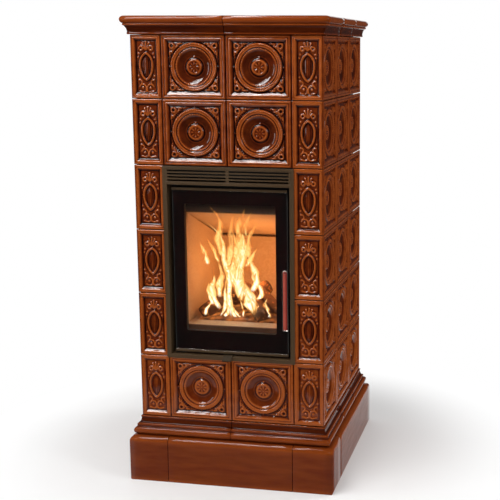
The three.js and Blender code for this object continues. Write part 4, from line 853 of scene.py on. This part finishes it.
# One slot and the metal round it, repeated upward for each half of the grille.
SLOT_ROWS = 4
SLOT_OPEN = 6.0
SLOT_FROM_MIDDLE = 5
SLOT_FROM_END = 6.2
SHARP = 0.01  # radius of a corner that isn't rounded
grille_low, grille_high = box_mm("air_grille")
cell = (grille_high.z - grille_low.z) / SLOT_ROWS
slot_half = (grille_high.x - SLOT_FROM_MIDDLE - SLOT_FROM_END) / 2
slot_foot = grille_low.z + (cell - SLOT_OPEN) / 2
grille_halves = []
for side, hand in (("left", -1), ("right", 1)):
    plate = rounded_rectangle(grille_high.x / 2, grille_low.z, grille_low.z + cell, SHARP, hand * grille_high.x / 2)
    slot = rounded_rectangle(slot_half, slot_foot, slot_foot + SLOT_OPEN, SLOT_OPEN / 2 - SHARP,
                             hand * (SLOT_FROM_MIDDLE + slot_half))
    half_grille = framed_sheet(f"slots_{side}", plate, slot, grille_low.y, grille_high.y, bronze)
    grown(half_grille, row_tree, row_sockets, {"Count": SLOT_ROWS, "Step": (0.0, 0.0, cell * MM), "Material": bronze})
    grille_halves.append(half_grille)
install(joined(grille_halves, "slotted_grille"), "root", "bronze_steel", "air_grille")

# ---------------------------------------------------------------- door
# A cast frame carries one pane of ceramic glass, printed black on its back round a clear window.
# Bronze-grey strips edge it above and below, a braided rope seals it, and two pins hang it.
WINDOW = (160, 543, 987)  # half width, foot and head of the clear window
WINDOW_CORNER = 6
PRINT_INSET = 1
PRINT_BACK = 0.22
ROPE_INSET = 4  # the rope's edge to its middle
ROPE_CORNER = 10
ROPE_STRANDS = 3
ROPE_TWISTS = 150

eased("door_frame", "cast_door_frame", iron, 0.8, "black_iron", "door")

clear_glass = two_toned("ceramic_glass", (5.0, 2.0, 0.8), (0.96, 0.93, 0.90, 1), (1.0, 0.98, 0.96, 1),
                        Roughness=0.0, IOR=1.46, Transmission_Weight=1.0)
eased("door_glass", "glass_pane", clear_glass, 0.6, "printed_glass", "door")

enamel = two_toned("black_enamel_print", (40.0, 4.0, 1.2), (0.0062, 0.0004, 0.0004, 1), (0.0100, 0.0008, 0.0008, 1),
                   Roughness=0.3, Specular_IOR_Level=0.1)
pane_low, pane_high = box_mm("door_glass")
print_outer = rounded_rectangle(pane_high.x - PRINT_INSET, pane_low.z + PRINT_INSET, pane_high.z - PRINT_INSET, 2)
print_inner = rounded_rectangle(*WINDOW, WINDOW_CORNER)
printed = framed_sheet("printed_border", print_outer, print_inner, pane_high.y + 0.04, pane_high.y + PRINT_BACK, enamel)
install(printed, "door", "printed_glass")

for end in ("bottom", "top"):
    eased(f"door_trim_{end}", f"edge_strip_{end}", bronze, 0.9, "bronze_steel", "door", 3)
    eased(f"hinge_{end}", f"pin_hinge_{end}", iron, 0.4, "bare_steel")

rope_fibre = two_toned("woven_rope", (900.0, 3.0, 2.0), (0.03, 0.028, 0.026, 1), (0.10, 0.095, 0.09, 1), (0.0004, 0.8),
                       Roughness=0.9)

# The rope's path is a closed wire; the tree twists round strands about it.
rope_tree, rope_sockets, given = growth(
    "twisted_rope", {"Strands": "Int", "Strand radius": "Float", "Lay radius": "Float", "Twists": "Float",
                     "Segment": "Float", "Material": "Material"})
wire = put(rope_tree, "GeometryNodeMeshToCurve", {"Mesh": given["Geometry"]})
fine = put(rope_tree, "GeometryNodeResampleCurve", {"Curve": wire.outputs[0], "Length": given["Segment"]},
           mode="LENGTH")
place = put(rope_tree, "GeometryNodeSplineParameter")
turns = maths("MULTIPLY", place.outputs["Factor"], given["Twists"])
tilt = maths("MULTIPLY", turns, 2 * math.pi)
twisted = put(rope_tree, "GeometryNodeSetCurveTilt", {"Curve": fine.outputs[0], "Tilt": tilt})
ring_of = put(rope_tree, "GeometryNodeCurvePrimitiveCircle",
              {"Resolution": given["Strands"], "Radius": given["Lay radius"]})
strand = put(rope_tree, "GeometryNodeCurvePrimitiveCircle", {"Resolution": 6, "Radius": given["Strand radius"]})
around = put(rope_tree, "GeometryNodeInstanceOnPoints", {"Points": ring_of.outputs[0], "Instance": strand.outputs[0]})
sections = put(rope_tree, "GeometryNodeRealizeInstances", {"Geometry": around.outputs[0]})
laid = put(rope_tree, "GeometryNodeCurveToMesh", {"Curve": twisted.outputs[0], "Profile Curve": sections.outputs[0]})
end_growth(rope_tree, laid.outputs[0], given["Material"])

rope_low, rope_high = box_mm("door_gasket")
rope_y = (rope_low.y + rope_high.y) / 2
path = rounded_rectangle(rope_high.x - ROPE_INSET, rope_low.z + ROPE_INSET, rope_high.z - ROPE_INSET, ROPE_CORNER)
rope = make_piece("rope_seal", [(x, rope_y, z) for x, z in path], [],
                  edges=[(i, (i + 1) % len(path)) for i in range(len(path))])
grown(rope, rope_tree, rope_sockets,
      {"Strands": ROPE_STRANDS, "Strand radius": 1.75 * MM, "Lay radius": 1.7 * MM, "Twists": float(ROPE_TWISTS),
       "Segment": 3.0 * MM, "Material": rope_fibre})
install(rope, "door", "rope", "door_gasket")

# ---------------------------------------------------------------- handle
# A flat steel bar with rounded ends stands off the glass on its spindle; a red-brown enamelled inlay
# lies in its face, and the spindle's polished end shows at the top.
INLAY_EDGE = 3.4
INLAY_DEEP = 0.9
PIVOT_R = 2.6
SPINDLE = (195.5, 762.5)

bright_steel = metal("bright_steel", (0.62, 0.56, 0.52, 1), (0.42, 0.37, 0.34, 1), 0.5, 700.0, 0.24, 1.0, 0.00005)
inlay_enamel, shader, here = finish("red_brown_inlay", Roughness=0.22, Coat_Weight=0.6, Coat_Roughness=0.08)


def between(value, low, high, **settings):
    """Runs from 0 to 1 as the value goes from low to high."""
    return put(value, "ShaderNodeMapRange", {"Value": value, "From Min": low, "From Max": high}, **settings).outputs[0]


sides = put(here, "ShaderNodeSeparateXYZ", {0: here}).outputs
# Painted shade: the inlay darkens towards its right-hand edge.
painted_shade_right = between(sides["X"], 0.1945, 0.1995)
body_red = blend(patchy(here, 160.0, 4.0, 1.2), (0.33, 0.050, 0.030, 1), (0.45, 0.085, 0.055, 1))
link(blend(painted_shade_right, body_red, (0.20, 0.016, 0.012, 1)), shader.inputs["Base Color"])

grip_low, grip_high = box_mm("handle_grip")


def bar_outline(inset):
    """The bar's face seen from the front: a full round at the top, small rounds below."""
    x0, x1 = grip_low.x + inset, grip_high.x - inset
    foot, head = grip_low.z + inset, grip_high.z - inset
    r = (x1 - x0) / 2
    small = min(3.0, r)
    return [*arc(x1 - small, foot + small, small, 270, 360), *arc(x0 + r, head - r, r, 0, 180, 20),
            *arc(x0 + small, foot + small, small, 180, 270)]


def turned_over(faces):
    """The same faces, seen from their other side."""
    return [(face[0], *face[:0:-1]) for face in faces]


def lofted(name, loops, material):
    """A closed body through loops of (outline, depth), capped at both ends."""
    points = [(x, y, z) for outline, y in loops for x, z in outline]
    faces = turned_over(loop_faces(len(loops), len(loops[0][0])))
    return make_piece(name, points, faces, len(faces) - 2, material)


front, back = grip_low.y, grip_high.y
bar_loops = ((INLAY_EDGE, front + INLAY_DEEP), (INLAY_EDGE - 0.3, front + 0.1), (1.4, front), (0.5, front + 0.5),
             (0, front + 1.6), (0, back - 1.2), (1.2, back))
inlay_loops = ((INLAY_EDGE + 0.9, front + 0.15), (INLAY_EDGE + 0.25, front + 0.5),
               (INLAY_EDGE + 0.1, front + INLAY_DEEP + 0.3))
bar = lofted("handle_bar", [(bar_outline(inset), y) for inset, y in bar_loops], bright_steel)
inlay = lofted("handle_inlay", [(bar_outline(inset), y) for inset, y in inlay_loops], inlay_enamel)
install(bar, "handle", "handle_finish", "handle_grip")
install(inlay, "handle", "handle_finish")
eased("latch_spindle", "spindle_and_tongue", steel, 0.3, "bare_steel", "handle")
pivot = lofted("spindle_end", [(arc(*SPINDLE, r, 0, 345, 24), front + y) for r, y in
                               ((0.6, -0.02), (PIVOT_R - 0.6, 0.0), (PIVOT_R, 0.35), (PIVOT_R, 1.2))], bright_steel)
install(pivot, "handle", "handle_finish")

# ---------------------------------------------------------------- firebox
# A welded steel shell holds loose firebricks: a hearth with a cast grate, side and back bricks and a
# baffle that rests on their slope. A steel bar keeps embers off the door, and the ash pan lies below.
firebrick, shader, here = finish("pale_firebrick", Roughness=0.94)
grog = patchy(here, 150.0, 5.0, 1.7)
clean = blend(grog, (0.50, 0.36, 0.22, 1), (0.68, 0.53, 0.36, 1))
smoke = maths("MULTIPLY", patchy(here, 5.0, 3.0, 1.6), 0.45)
smoked = blend(smoke, clean, (0.30, 0.20, 0.13, 1))
# The baffle's front edge is darkened to a very dark brown.
sides = put(here, "ShaderNodeSeparateXYZ", {0: here}).outputs
darkened_front_edge = maths("MULTIPLY", between(sides["Y"], -0.236, -0.248), between(sides["Z"], 0.90, 0.97))
link(blend(darkened_front_edge, smoked, (0.035, 0.020, 0.012, 1)), shader.inputs["Base Color"])
bump(shader, grog, 0.0008, 0.5)

for node, name in (("hearth_block", "hearth_brick"), ("side_brick_left", "fire_brick_left"),
                   ("side_brick_right", "fire_brick_right"), ("back_brick", "fire_brick_back"),
                   ("baffle", "baffle_brick")):
    eased(node, name, firebrick, 1.6, "chamotte")
for node, name, width in (("firebox_shell", "welded_shell", 0.8), ("grate", "cast_grate", 1.2),
                          ("firebox_stand", "angle_stand", 1.0)):
    eased(node, name, iron, width, "black_iron")
tanned = metal("heat_tanned_iron", (0.12, 0.050, 0.022, 1), (0.20, 0.095, 0.045, 1), 0.8, 300.0, 0.6, 0.2, 0.0003)
eased("ember_guard", "ember_bar", tanned, 1.5, "black_iron")
eased("ash_pan", "folded_ash_pan", steel, 0.5, "bare_steel")

# ---------------------------------------------------------------- fire
# Split logs burn on the grate: charred wood with glowing cracks, and tongues of flame that lick up
# and forward under the baffle. The fire is dressing and has no solid of its own.
LOGS = (  # both ends and the radius
    ((-146, -195, 574), (-46, -90, 640), 24), ((88, -215, 572), (-10, -100, 652), 27),
    ((-40, -60, 580), (60, -40, 650), 24), ((122, -140, 576), (30, -80, 640), 20),
    ((-100, -40, 580), (10, -110, 640), 22))
FLAMES = [  # half width, heat and path (x, z) from foot to tip
    (9, 1.0, (-129, 570), (-125, 594), (-111, 610), (-97, 628), (-88, 652)),
    (17, 1.0, (-76, 596), (-95, 640), (-99, 680), (-86, 708), (-87, 756)),
    (12, 0.9, (-98, 612), (-109, 645), (-112, 672), (-106, 700)),
    (9, 1.0, (-76, 568), (-58, 594), (-53, 627), (-53, 665), (-44, 704), (-30, 755)),
    (19, 0.8, (-72, 640), (-70, 694), (-56, 723), (-67, 782)),
    (18, 1.0, (-35, 566), (-37, 608), (-40, 646), (-33, 684), (-26, 723), (-42, 761), (-49, 799), (-40, 838),
     (-53, 876), (-76, 900), (-112, 922)),
    (12, 1.0, (-56, 568), (-46, 586), (-40, 618)), (12, 1.0, (-18, 568), (-28, 588), (-34, 626)),
    (9, 1.0, (-2, 568), (-16, 582), (-28, 606)), (6, 1.0, (7, 568), (7, 594), (-1, 634)),
    (32, 1.0, (66, 572), (40, 612), (12, 651), (-2, 689), (2, 728), (16, 766), (26, 804), (32, 847), (34, 885),
     (43, 922), (66, 962)),
    (26, 1.0, (68, 584), (52, 622), (34, 656), (14, 690), (6, 752)),
    (13, 1.0, (40, 636), (72, 640), (84, 664), (74, 692), (52, 714), (56, 760)),
    (19, 1.0, (50, 668), (70, 708), (66, 742), (52, 775), (42, 812)),
    (15, 1.0, (104, 572), (92, 602), (87, 618), (100, 644)),
    (11, 0.9, (72, 566), (86, 590), (80, 620)),
    (28, 0.62, (-35, 720), (-26, 790), (-7, 840), (-17, 885), (-3, 948)),
    (30, 0.68, (2, 720), (11, 800), (18, 852), (8, 895), (38, 970)),
    (19, 0.55, (-53, 790), (-63, 858), (-46, 904), (-55, 936), (-90, 975)),
    (18, 0.55, (39, 790), (48, 866), (84, 922)), (15, 0.75, (34, 760), (57, 799), (80, 832)),
    (13, 0.80, (-104, 762), (-112, 800), (-128, 846)), (12, 0.60, (-66, 770), (-80, 818), (-104, 864)),
    (20, 0.85, (-10, 670), (-16, 750), (4, 820), (-4, 888))]

dice = np.random.default_rng(11)

charred, shader, here = finish("charred_wood", Roughness=0.9, Emission_Strength=1.6)
bark = noise(here, 45.0, 6.0)
cracks = put(here, "ShaderNodeTexVoronoi", {"Vector": here, "Scale": 60.0}, feature="DISTANCE_TO_EDGE")
glowing = maths("MULTIPLY_ADD", cracks.outputs["Distance"], -9.0, 1.0, clamp=True)
hot = maths("MULTIPLY", glowing, maths("MULTIPLY_ADD", bark, 5.0, -2.7, clamp=True))
link(blend(bark, (0.045, 0.020, 0.010, 1), (0.26, 0.12, 0.055, 1)), shader.inputs["Base Color"])
link(blend(hot, (0.0, 0.0, 0.0, 1), (1.0, 0.25, 0.03, 1)), shader.inputs["Emission Color"])
bump(shader, bark, 0.004, 0.7)


def split_log(start, end, radius):
    """A split log with its bark: a slightly three-cornered round, uneven along its length."""
    start, end = np.array(start, float), np.array(end, float)
    side = np.cross(end - start, (0, 0, 1))
    side /= np.linalg.norm(side)
    over = np.cross(side, (end - start) / np.linalg.norm(end - start))
    roll = dice.uniform(0, 2 * math.pi)
    stations, count = 14, 18
    turns = 2 * math.pi * np.arange(count) / count
    shape = [1 + 0.16 * math.cos(3 * turn) + dice.uniform(-0.05, 0.05) for turn in turns]
    points = []
    for k, t in enumerate(np.linspace(0, 1, stations)):
        swell = 1 + 0.06 * math.sin(5 * t + roll) - (0.18 if k in (0, stations - 1) else 0)
        for wide, turn in zip(shape, turns):
            r = radius * wide * swell + dice.uniform(-0.7, 0.7)
            a = roll + turn
            points.append(start + (end - start) * t + side * r * math.cos(a) + over * r * math.sin(a))
    return np.array(points), loop_faces(stations, count)


def gathered(name, parts, material, **marks):
    """One mesh from several (points, faces); marks are lists with one array for each part."""
    points, faces, start = [], [], 0
    for part_points, part_faces in parts:
        points.append(part_points)
        faces += [tuple(i + start for i in face) for face in part_faces]
        start += len(part_points)
    made = make_piece(name, np.vstack(points), faces, None, material,
                      **{label: np.concatenate(values) for label, values in marks.items()})
    shape = bmesh.new()
    shape.from_mesh(made.data)
    bmesh.ops.recalc_face_normals(shape, faces=shape.faces)
    shape.to_mesh(made.data)
    shape.free()
    return made


install(gathered("burning_logs", [split_log(*log) for log in LOGS], charred), "root", None)

embers, shader, here = finish("glowing_embers", Roughness=0.9, Emission_Strength=0.9)
coal = put(here, "ShaderNodeTexVoronoi", {"Vector": here, "Scale": 46.0}).outputs["Distance"]
heat = maths("MULTIPLY", patchy(here, 24.0, 3.0, 2.6), maths("MULTIPLY_ADD", coal, -1.1, 0.95, clamp=True))
link(blend(heat, (0.05, 0.03, 0.025, 1), (0.3, 0.08, 0.02, 1)), shader.inputs["Base Color"])
link(blend(heat, (0.05, 0.008, 0.0, 1), (1.0, 0.33, 0.06, 1)), shader.inputs["Emission Color"])
bump(shader, coal, 0.006, 0.8)
EMBER_BED = (150, 110, 14)  # half length, half depth and height of the heap
EMBERS_AT = (0, -110, 555.8)
lines = np.linspace(-1, 1, 44)
u, v = np.meshgrid(lines, lines, indexing="ij")
heap = np.clip(1 - u ** 4 - v ** 4, 0, 1) * EMBER_BED[2] + dice.uniform(0, 7, u.shape) * (np.abs(u) < 0.97)
points, faces, smooth, _ = relief_block(lines, lines, soften(heap, 1) + 0.4, 0)
placed = points * (*EMBER_BED[:2], 1) + EMBERS_AT
install(make_piece("ember_bed", placed, faces, smooth, embers), "root", None)

flame_glow, shader, here = finish("flame", Roughness=1.0, Base_Color=(0, 0, 0, 1), Specular_IOR_Level=0.0,
                                  Emission_Strength=1.4)
core, height_mark, heat_mark = (put(here, "ShaderNodeAttribute", attribute_name=mark).outputs["Fac"]
                                for mark in ("core", "rise", "warmth"))
stretched = put(here, "ShaderNodeMapping", {"Vector": here, "Scale": (46.0, 46.0, 15.0)}).outputs[0]
lick = noise(stretched, 1.0, 2.0, Distortion=1.2)
off_ridge = maths("ABSOLUTE", maths("SUBTRACT", lick, 0.5))
filament = maths("MULTIPLY_ADD", off_ridge, -7.0, 1.0, clamp=True)
gauze = maths("MULTIPLY_ADD", lick, 2.0, -0.40, clamp=True)
texture_heat = maths("MULTIPLY_ADD", filament, 0.50, maths("MULTIPLY_ADD", gauze, 0.62, 0.10))
cooling = maths("MULTIPLY_ADD", height_mark, -0.55, 1.05)
hotness = maths("MULTIPLY", maths("MULTIPLY", core, texture_heat), cooling)
hotness = maths("MULTIPLY", hotness, maths("MULTIPLY_ADD", heat_mark, 1.0, 0.02), clamp=True)
# From deep orange over yellow to nearly white, the hotter it is.
colour = (1.0, 0.22, 0.03, 1)
for gain, start, hotter in ((2.2, 0.0, (1.0, 0.50, 0.12, 1)), (2.4, -0.75, (1.0, 0.78, 0.30, 1)),
                            (2.8, -1.55, (1.0, 0.96, 0.84, 1))):
    colour = blend(maths("MULTIPLY_ADD", hotness, gain, start, clamp=True), colour, hotter)
link(colour, shader.inputs["Emission Color"])
veil = maths("MULTIPLY_ADD", hotness, 2.3, -0.24, clamp=True)
fade = maths("SUBTRACT", 1.0, maths("POWER", height_mark, 4.0), clamp=True)
kindled = maths("MULTIPLY", height_mark, 9.0, clamp=True)
link(maths("MULTIPLY", veil, maths("MULTIPLY", fade, kindled)), shader.inputs["Alpha"])


def tongue(half_width, warmth, *path):
    """A closed leaf of flame round a curling path, which leans out from under the baffle as it rises: points,
    faces and its marks."""
    stations, count = 40, 20
    path = np.array(path, float)
    gone = np.append(0, np.cumsum(np.hypot(*np.diff(path, axis=0).T)))
    up = np.linspace(0, 1, stations)
    x, z = (np.interp(up * gone[-1], gone, path[:, k]) for k in (0, 1))
    for _ in range(6):
        x, z = smoothed(x), smoothed(z)
    phase, depth = dice.uniform(0, 2 * math.pi), dice.uniform(-6, 6)
    points, core = [], []
    for t, cx, cz in zip(up, x, z):
        cy = -206 + depth - 58 * min(max((cz - 600) / 290, 0), 1)
        body = (t + 0.04) ** 0.42 * (1 - t) ** 0.85 * 1.75
        flutter = 1 + 0.22 * math.sin(11 * t + phase) + 0.12 * math.sin(23 * t + 2 * phase)
        width = half_width * body * flutter + 0.15
        for a in 2 * math.pi * np.arange(count) / count:
            points.append((cx + width * math.cos(a), cy + 0.35 * width * math.sin(a), cz))
            core.append(1.12 * abs(math.sin(a)) ** 2.6)
    return (np.array(points), loop_faces(stations, count)), core, np.repeat(up, count), np.full(len(points), warmth)


leaves, core, up, warmth = zip(*(tongue(*flame) for flame in FLAMES))
install(gathered("flames", leaves, flame_glow, core=core, rise=up, warmth=warmth), "root", None)

for name, at, watts in (("fire_light_low", (0.02, -0.07, 0.67), 1.45), ("fire_light_high", (0.02, -0.15, 0.76), 0.95)):
    data = bpy.data.lights.new(name, "POINT")
    data.energy, data.color, data.shadow_soft_size = watts, (1.0, 0.40, 0.12), 0.06
    lamp = in_scene(name, data)
    lamp.matrix_world = Matrix.Translation(at)
    lamp.visible_camera = lamp.visible_transmission = lamp.visible_glossy = False

# ---------------------------------------------------------------- air control, flue pipe and rosette
# The lever's bent lip shows under the door and moves a slotted slide. Behind, a rolled steel pipe
# rises from the shell, bends and leaves through the rear panel, where a flat ring covers the gap.
lever_paint = metal("dull_bronze_paint", (0.030, 0.019, 0.010, 1), (0.045, 0.030, 0.016, 1), 0.6, 700.0, 0.7, 0.0,
                    0.0001, 0.05)
eased("air_lever", "bent_lever", lever_paint, 0.8, "bronze_steel", "air_control")
eased("air_slide", "slotted_slide", steel, 0.4, "bare_steel", "air_control")

PIPE_R = (72, 75)
PIPE_BEND = 115
PIPE_STRAIGHT = 40  # from its bend to the next ring of points
PIPE_SIDES = 56
RING_R = (77.2, 99)
pipe_low, pipe_high = box_mm("flue_pipe")
axis_y, axis_z = pipe_low.y + PIPE_R[1], pipe_high.z - PIPE_R[1]
stations = [(axis_y, pipe_low.z, 0.0)]
stations += [(axis_y + PIPE_BEND * (1 - math.cos(a)), axis_z - PIPE_BEND * (1 - math.sin(a)), a)
             for a in np.radians(np.linspace(0, 90, 16))]
stations += [(y, axis_z, math.pi / 2) for y in (axis_y + PIPE_BEND + PIPE_STRAIGHT, pipe_high.y)]
around = np.linspace(0, 2 * math.pi, PIPE_SIDES, endpoint=False)
points = [(radius * math.cos(s), y - radius * math.sin(s) * math.cos(a), z + radius * math.sin(s) * math.sin(a))
          for radius, order in ((PIPE_R[1], stations), (PIPE_R[0], stations[::-1]))
          for y, z, a in order for s in around]
faces = turned_over(loop_faces(2 * len(stations), PIPE_SIDES, closed=True))
install(gathered("flue_elbow", [(np.array(points), faces)], iron), "root", "black_iron", "flue_pipe")

ring_low, ring_high = box_mm("flue_rosette")
edge = ring_high.y - 0.8
section = ((RING_R[0], ring_low.y), (RING_R[1], ring_low.y), (RING_R[1], edge), (RING_R[1] - 0.8, ring_high.y),
           (RING_R[0] + 0.8, ring_high.y), (RING_R[0], edge))
points = [(r * math.cos(s), y, axis_z + r * math.sin(s)) for s in around for r, y in section]
faces = turned_over(loop_faces(PIPE_SIDES, len(section), closed=True))
rosette = gathered("wall_ring", [(np.array(points), faces)], iron)
rosette.data.polygons.foreach_set("use_smooth", np.zeros(len(rosette.data.polygons), bool))
install(rosette, "root", "black_iron", "flue_rosette")

# ---------------------------------------------------------------- floor, lamps and backdrop
# A pale disc of studio floor that fades into a white backdrop, and soft lamps. A window of five panes, high
# in front on the left, and a strip over the cornice light only the glaze's mirror; one lamp overhead lights
# the colours, and dimmer tall ones stand at the sides.
FLOOR_R = 1150
FLOOR_SIDES = 96
pale, shader, here = finish("pale_floor", Roughness=0.7, Specular_IOR_Level=0.2, Emission_Strength=1.0)
away = put(here, "ShaderNodeVectorMath", {0: here}, operation="LENGTH").outputs["Value"]
far = between(away, 0.60, 1.08, interpolation_type="SMOOTHSTEP")
path = put(here, "ShaderNodeLightPath").outputs
seen = maths("MAXIMUM", path["Is Camera Ray"], maths("MAXIMUM", path["Is Glossy Ray"], path["Is Transmission Ray"]))
white = maths("MULTIPLY", far, seen)
grey = blend(patchy(here, 3.0, 2.0, 0.6), (0.86, 0.855, 0.85, 1), (0.9, 0.895, 0.89, 1))
link(blend(white, grey, (0, 0, 0, 1)), shader.inputs["Base Color"])
link(blend(white, (0, 0, 0, 1), (1, 1, 1, 1)), shader.inputs["Emission Color"])
rim = [(FLOOR_R * math.cos(a), FLOOR_R * math.sin(a), 0) for a in 2 * math.pi * np.arange(FLOOR_SIDES) / FLOOR_SIDES]
floor = make_piece("studio_floor", rim, [tuple(range(FLOOR_SIDES))], 0, pale)

PANES = (("wide", -1.37, 0.24, 56), ("narrow", -1.13, 0.12, 27), ("slim", -0.99, 0.06, 13),
         ("middle", -0.83, 0.16, 34), ("right", -0.62, 0.08, 14))  # x, width and watts
SOFT_LAMPS = [(f"window_{pane}", (x, -1.55 - 0.3 * (x + 0.95), 3.0), (x + 0.95, -0.3, 0.9), (width, 1.9), watts,
               "diffuse") for pane, x, width, watts in PANES]
SOFT_LAMPS += [  # name, place, what it shines on, size, watts and the rays that miss it
    ("over_cornice", (-0.5, -0.25, 3.3), (-0.1, -0.3, 1.6), (1.3, 0.22), 48, "diffuse"),
    ("overhead", (-0.6, -1.6, 3.0), (0, -0.3, 0.9), (1.6, 1.2), 48, "glossy"),
    ("left", (-2.8, -1.6, 1.6), (0, -0.3, 0.8), (0.35, 1.6), 22, None),
    ("right", (3.0, 1.2, 1.9), (0.3, 0, 0.8), (0.8, 1.6), 34, "glossy"),
    ("right_front", (2.5, -1.2, 2.5), (0.3, -0.1, 0.8), (0.5, 1.3), 15, None)]
for name, at, towards, size, watts, missed_by in SOFT_LAMPS:
    data = bpy.data.lights.new(f"lamp_{name}", "AREA")
    data.shape, data.energy = "RECTANGLE", watts
    data.size, data.size_y = size
    lamp = in_scene(f"lamp_{name}", data)
    direction = Vector(towards) - Vector(at)
    lamp.matrix_world = Matrix.Translation(at) @ direction.to_track_quat("-Z", "Y").to_matrix().to_4x4()
    if missed_by:
        setattr(lamp, f"visible_{missed_by}", False)

# The backdrop is a white sheet as wide as the camera sees; the rest of the room is dim to a mirror.
BACKDROP = (-0.50, -0.04)  # how far it reaches to the left and right, as a direction's X
world = bpy.data.worlds.new("studio")
bpy.context.scene.world = world
world.use_nodes = True
tree = world.node_tree
sky = tree.nodes["Background"]
direction = put(tree, "ShaderNodeSeparateXYZ", {0: put(tree, "ShaderNodeTexCoord").outputs["Generated"]}).outputs
left_edge = between(direction["X"], BACKDROP[0] - 0.05, BACKDROP[0])
right_edge = between(direction["X"], BACKDROP[1] + 0.05, BACKDROP[1])
sheet = maths("MULTIPLY", between(direction["Y"], 0.3, 0.6), maths("MULTIPLY", left_edge, right_edge))
reflected = maths("MULTIPLY_ADD", sheet, 0.96, 0.04)
path = put(tree, "ShaderNodeLightPath").outputs
mirrored = maths("MAXIMUM", path["Is Glossy Ray"], path["Is Transmission Ray"])
ambient = maths("MULTIPLY_ADD", mirrored, maths("SUBTRACT", reflected, 0.55), 0.55)
strength = maths("MAXIMUM", ambient, path["Is Camera Ray"])
link(strength, sky.inputs["Strength"])
sky.inputs["Color"].default_value = (1, 1, 1, 1)

bpy.context.scene.view_settings.view_transform = "Standard"
